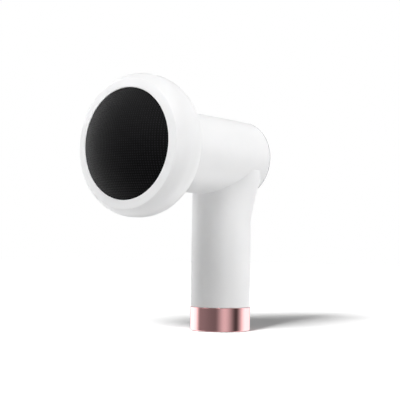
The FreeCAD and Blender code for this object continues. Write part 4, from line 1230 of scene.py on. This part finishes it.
@dataclass
class RearEnd:
    """The barrel's rear: satin nickel trim ring, cover, frosted light ring and power button."""

    trim_bore: float = 26.5
    trim_round: float = 0.5
    plate_front: float = -20.2
    skirt_end: float = -15.6
    skirt_radius: float = 26.6
    skirt_wall: float = 1.8
    cover_radius: float = 26.4
    cover_round: float = 0.5
    side_end: float = 0.05
    skirt_start: float = 0.2
    edge_chamfer: float = 0.15
    light_chamfer: float = 0.2
    light_bore: float = 8.3
    button_round: float = 1.2
    button_dish: float = 0.3
    dish_shares: tuple[float, ...] = (0.25, 0.5, 0.7, 0.85, 0.95)
    flange_radius: float = 9.6
    flange_back: float = -20.1
    flange_front: float = -19.1
    stem_radius: float = 2.0
    stem_end: float = -18.55

    def build(self) -> None:
        """Builds and dresses the four pieces."""
        dress(self._trim(), SATIN_NICKEL, ["rear_trim_ring"])
        dress(self._cover(), SATIN_ABS, ["rear_cover"])
        dress(self._light(), FROSTED_ACRYLIC, ["light_ring"])
        dress(self._button(), GLOSS_ABS, ["power_button"], Body.BUTTON)

    def _trim(self) -> bpy.types.Object:
        """A narrow satin nickel ring with a rounded outer edge.

        Returns:
            The ring.
        """
        rear, front, outside = LAYOUT.barrel_rear, LAYOUT.housing_rear, LAYOUT.barrel_radius
        return turned("rear_trim", Axis.BARREL, [
            (self.trim_bore, front),
            (self.trim_bore, rear + self.edge_chamfer),
            (self.trim_bore + self.edge_chamfer, rear),
            *rounded((self.trim_bore, rear), (outside, rear), (outside, front), self.trim_round, steps=6),
            (outside, front),
        ])

    def _cover(self) -> bpy.types.Object:
        """A shallow cup with a hole for the light ring.

        Returns:
            The cover.
        """
        rear, side_end = LAYOUT.barrel_rear, (self.cover_radius, LAYOUT.housing_rear + self.side_end)
        return turned("rear_cover_cup", Axis.BARREL, [
            (LAYOUT.light_radius, self.plate_front),
            (LAYOUT.light_radius, rear + self.edge_chamfer),
            (LAYOUT.light_radius + self.edge_chamfer, rear),
            *rounded((0, rear), (self.cover_radius, rear), side_end, self.cover_round, steps=6),
            side_end,
            (self.skirt_radius, LAYOUT.housing_rear + self.skirt_start),
            (self.skirt_radius, self.skirt_end),
            (self.skirt_radius - self.skirt_wall, self.skirt_end),
            (self.skirt_radius - self.skirt_wall, self.plate_front),
        ])

    def _light(self) -> bpy.types.Object:
        """The light guide between cover and button, softened at both edges.

        Returns:
            The light guide.
        """
        rear, chamfer = LAYOUT.barrel_rear, self.light_chamfer
        return turned("light_guide_ring", Axis.BARREL, [
            (self.light_bore, self.plate_front),
            (self.light_bore, rear + chamfer),
            (self.light_bore + chamfer, rear),
            (LAYOUT.light_radius - chamfer, rear),
            (LAYOUT.light_radius, rear + chamfer),
            (LAYOUT.light_radius, self.plate_front),
        ])

    def _button(self) -> bpy.types.Object:
        """A round push button with a dished face, a flange behind and a stem to the switch.

        Returns:
            The button.
        """
        radius, proud = LAYOUT.button_radius, LAYOUT.button_reach
        edge = radius - self.button_round
        face = [
            (edge * share, proud + self.button_dish * (1 - share**2)) for share in self.dish_shares
        ]
        return turned("power_button_cap", Axis.BARREL, [
            *face,
            *rounded((0, proud), (radius, proud), (radius, self.flange_back), self.button_round, steps=8),
            (radius, self.flange_back),
            (self.flange_radius, self.flange_back),
            (self.flange_radius, self.flange_front),
            (self.stem_radius, self.flange_front),
            (self.stem_radius, self.stem_end),
        ], End.FLAT, End.FLAT)


# ------------------------------------------------------------------ inside


@dataclass(frozen=True)
class Interior:
    """The CAD nodes that keep their shape, each with the finish of its material slot."""

    finishes: tuple[tuple[str, Finish], ...] = (
        ("inner_black", BLACK_NYLON),
        ("inner_natural", ACETAL),
        ("weight_steel", TURNED_STEEL),
        ("screw_steel", ZINC_PLATE),
        ("can_steel", DRAWN_CAN),
        ("magnet_ferrite", FERRITE),
        ("bush_bronze", BRONZE),
        ("contact_brass", BRASS),
        ("brush_carbon", CARBON),
        ("core_steel", LAMINATION),
        ("winding_copper", ENAMELLED_COPPER),
        ("shaft_steel", LAPPED_STEEL),
        ("bearing_steel", LAPPED_STEEL),
        ("plate_aluminium", MILLED_ALUMINIUM),
        ("board_green", SOLDER_MASK),
        ("chip_black", CHIP_EPOXY),
        ("lamp_clear", LAMP_EPOXY),
        ("cell_can", CELL_SLEEVE),
        ("strip_nickel", NICKEL_STRIP),
        ("socket_steel", DRAWN_CAN),
        ("lead_red", RED_PVC),
    )

    def dress(self) -> None:
        """Gives every CAD node that is still shown its finish."""
        finishes = dict(self.finishes)
        for name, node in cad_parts.items():
            if node.hide_render:
                continue
            finish = finishes[node.material_slots[0].material.name]
            node.material_slots[0].material = finish.material()
            LOG.info("%s: %s", name, finish.name)


# ------------------------------------------------------------------ studio


@dataclass(frozen=True)
class Glow:
    """How bright the surround is at one bearing, as reflections see it: 1 is plain white.

    A bearing is an angle from the camera's side of the object, positive to the camera's right.
    """

    bearing: float
    light: float


@dataclass(frozen=True)
class Softbox:
    """A square area lamp, placed to the right of, above and towards the camera from the object's foot.

    It shines at a height on the grip's axis. Reflections show it only when it is mirrored.
    """

    name: str
    right: float
    up: float
    near: float
    size: float
    watts: float
    aim_height: float = 0.1
    mirrored: bool = True


@dataclass
class Studio:
    """Camera, lamps, pale floor and the surround that shapes the reflections.

    Lengths are in metres and angles in radians, but a glow's bearing is in degrees and the lens in
    millimetres.
    """

    position: tuple[float, float, float] = (0.447, -0.582, 0.055)
    yaw: float = -0.677
    pitch: float = 0.057
    roll: float = 0.0145
    lens: float = 88.2
    sensor: float = 36.0
    clip_start: float = 0.01
    softboxes: tuple[Softbox, ...] = (
        Softbox("key_softbox", -0.3, 1.25, 1.0, 0.55, 12.0),
        Softbox("right_softbox", 1.35, 0.4, 0.35, 1.0, 12.5, mirrored=False),
        Softbox("left_softbox", -1.0, 1.1, 0.4, 0.7, 6.5),
        Softbox("rear_softbox", 0.3, 1.0, -1.2, 1.0, 6.0, mirrored=False),
    )
    floor_softbox: Softbox = Softbox("floor_softbox", -0.6, 1.0, 1.3, 0.45, 80.0, 0.0, mirrored=False)
    glows: tuple[Glow, ...] = (
        Glow(-180.0, 0.35),
        Glow(-135.0, 2.2),
        Glow(-112.0, 1.9),
        Glow(-82.0, 0.30),
        Glow(-20.0, 0.20),
        Glow(16.0, 0.86),
        Glow(62.0, 0.08),
        Glow(112.0, 1.9),
        Glow(135.0, 1.7),
        Glow(180.0, 0.35),
    )
    surround_radius: float = 1.6
    surround_low: float = -3.0
    surround_high: float = 1.6
    surround_sides: int = 96
    world_strength: float = 0.06
    floor_size: float = 12.0
    floor_shade: float = 0.6
    floor_bounce: float = 0.38
    floor_lift: float = 0.22
    floor_near: float = 0.1
    floor_far: float = 0.5

    @property
    def forward(self) -> Vector:
        """The camera's line of sight."""
        return Vector((
            math.sin(self.yaw) * math.cos(self.pitch), math.cos(self.yaw) * math.cos(self.pitch),
            math.sin(self.pitch),
        ))

    @property
    def level_right(self) -> Vector:
        """The level direction to the camera's right."""
        return Vector((math.cos(self.yaw), -math.sin(self.yaw), 0.0))

    def build(self) -> None:
        """Sets up camera, world, floor, lamps and surround."""
        bpy.context.scene.view_settings.view_transform = "Standard"
        self._camera()
        self._world()
        floor = self._floor()
        floor_only = bpy.data.collections.new("floor_only")
        all_but_floor = bpy.data.collections.new("all_but_floor")
        for receivers in (floor_only, all_but_floor):
            receivers.objects.link(floor)
        all_but_floor.collection_objects[0].light_linking.link_state = "EXCLUDE"
        for softbox in self.softboxes:
            self._lamp(softbox).light_linking.receiver_collection = all_but_floor
        self._lamp(self.floor_softbox).light_linking.receiver_collection = floor_only
        self._surround()

    def _camera(self) -> None:
        """Adds the camera and makes it the scene's."""
        across = self.level_right
        up = across.cross(self.forward)
        right = across * math.cos(self.roll) + up * math.sin(self.roll)
        above = up * math.cos(self.roll) - across * math.sin(self.roll)
        data = bpy.data.cameras.new("camera")
        data.lens, data.sensor_width, data.clip_start = self.lens, self.sensor, self.clip_start
        camera = bpy.data.objects.new("camera", data)
        camera.matrix_world = (
            Matrix.Translation(self.position)
            @ Matrix((right, above, -self.forward)).transposed().to_4x4()
        )
        bpy.context.scene.collection.objects.link(camera)
        bpy.context.scene.camera = camera

    def _seen_directly(self, tree: bpy.types.NodeTree) -> bpy.types.NodeSocket:
        """Tells a surface that is looked at from one that only lights.

        Args:
            tree: the surface's node tree.

        Returns:
            1 for the camera, a reflection or a clear material, and 0 for soft light.
        """
        path = add_node(tree, "ShaderNodeLightPath", {})
        seen = path.outputs["Is Camera Ray"]
        for ray in ("Is Glossy Ray", "Is Transmission Ray"):
            seen = add_node(
                tree, "ShaderNodeMath", {0: seen, 1: path.outputs[ray]}, operation="MAXIMUM"
            ).outputs[0]
        return seen

    def _world(self) -> None:
        """A white surround that lights softly and is seen as plain white."""
        world = bpy.data.worlds.new("surround")
        bpy.context.scene.world = world
        world.use_nodes = True
        tree = world.node_tree
        strength = add_node(
            tree, "ShaderNodeMapRange",
            {"Value": self._seen_directly(tree), "To Min": self.world_strength, "To Max": 1.0},
        )
        background = tree.nodes["Background"]
        background.inputs["Color"].default_value = (1.0, 1.0, 1.0, 1.0)
        tree.links.new(strength.outputs[0], background.inputs["Strength"])

    def _floor(self) -> bpy.types.Object:
        """A wide pale floor that keeps the object's shadow and fades into the white surround.

        Returns:
            The floor.
        """
        floor = add_shape("floor", bpy.ops.mesh.primitive_plane_add, size=self.floor_size)
        made = new_material("white_paper_sweep")
        tree = made.node_tree
        shader = tree.nodes["Principled BSDF"]
        shader.inputs["Roughness"].default_value = 1.0
        shader.inputs["Specular IOR Level"].default_value = 0.0
        shader.inputs["Emission Color"].default_value = (1.0, 1.0, 1.0, 1.0)
        direct = self._seen_directly(tree)
        shade = add_node(
            tree, "ShaderNodeMapRange",
            {"Value": direct, "To Min": self.floor_bounce, "To Max": self.floor_shade},
        )
        tree.links.new(shade.outputs[0], shader.inputs["Base Color"])
        place = add_node(tree, "ShaderNodeTexCoord", {}).outputs["Object"]
        away = add_node(tree, "ShaderNodeVectorMath", {0: place}, operation="LENGTH")
        lift = add_node(
            tree, "ShaderNodeMapRange",
            {"Value": away.outputs["Value"], "From Min": self.floor_near, "From Max": self.floor_far,
             "To Min": self.floor_lift},
            interpolation_type="SMOOTHSTEP",
        )
        seen = add_node(tree, "ShaderNodeMath", {0: direct, 1: lift.outputs[0]}, operation="MULTIPLY")
        tree.links.new(seen.outputs[0], shader.inputs["Emission Strength"])
        floor.data.materials.append(made)
        floor.visible_glossy = False
        return floor

    def _lamp(self, softbox: Softbox) -> bpy.types.Object:
        """Adds one area lamp, turned towards the object.

        Args:
            softbox: the lamp's place, size and power.

        Returns:
            The lamp.
        """
        data = bpy.data.lights.new(softbox.name, "AREA")
        data.shape, data.size, data.energy = "SQUARE", softbox.size, softbox.watts
        lamp = bpy.data.objects.new(softbox.name, data)
        level_forward = self.forward.cross(Vector((0, 0, 1))).cross(Vector((0, 0, -1))).normalized()
        place = self.level_right * softbox.right + Vector((0, 0, softbox.up)) - level_forward * softbox.near
        aim = Vector((0, 0, softbox.aim_height)) - place
        turn = aim.to_track_quat("-Z", "Y").to_matrix().to_4x4()
        lamp.visible_glossy = softbox.mirrored
        lamp.matrix_world = Matrix.Translation(place) @ turn
        bpy.context.scene.collection.objects.link(lamp)
        return lamp

    def _surround(self) -> None:
        """Adds an upright drum of light and dark that only reflections see, brighter at some bearings."""
        toward = math.atan2(-self.forward.y, -self.forward.x)
        drum = add_shape(
            "surround_drum", bpy.ops.mesh.primitive_cylinder_add,
            vertices=self.surround_sides,
            radius=self.surround_radius,
            depth=self.surround_high - self.surround_low,
            end_fill_type="NOTHING",
            location=(0.0, 0.0, (self.surround_high + self.surround_low) / 2),
            rotation=(0.0, 0.0, toward),
        )
        made = new_material("surround_light")
        tree = made.node_tree
        tree.nodes.remove(tree.nodes["Principled BSDF"])
        place = add_node(tree, "ShaderNodeTexCoord", {}).outputs["Object"]
        apart = add_node(tree, "ShaderNodeSeparateXYZ", {0: place})
        bearing = add_node(
            tree, "ShaderNodeMath", {0: apart.outputs["Y"], 1: apart.outputs["X"]}, operation="ARCTAN2"
        )
        share = add_node(
            tree, "ShaderNodeMapRange",
            {"Value": bearing.outputs[0], "From Min": -math.pi, "From Max": math.pi},
        )
        ramp = add_node(tree, "ShaderNodeValToRGB", {"Fac": share.outputs[0]})
        brightest = max(glow.light for glow in self.glows)
        ramp.color_ramp.interpolation = "EASE"
        while len(ramp.color_ramp.elements) < len(self.glows):
            ramp.color_ramp.elements.new(0.5)
        for stop, glow in zip(ramp.color_ramp.elements, self.glows):
            stop.position = (glow.bearing + 180.0) / 360.0
            stop.color = (*[glow.light / brightest] * 3, 1.0)
        light = add_node(
            tree, "ShaderNodeEmission", {"Color": ramp.outputs["Color"], "Strength": brightest}
        )
        tree.links.new(light.outputs[0], tree.nodes["Material Output"].inputs["Surface"])
        drum.data.materials.append(made)
        for sight in ("camera", "diffuse", "transmission", "volume_scatter", "shadow"):
            setattr(drum, f"visible_{sight}", False)


# ------------------------------------------------------------------ making


def main() -> None:
    """Builds the studio, then each sub-assembly."""
    logging.basicConfig(level=logging.INFO, format="%(name)s %(message)s")
    Studio().build()
    for assembly in (Housing(), Foot(), Head(), Pad(), RearEnd()):
        LOG.info("%s", type(assembly).__name__)
        assembly.build()
    Interior().dress()


if __name__ == "__main__":
    main()
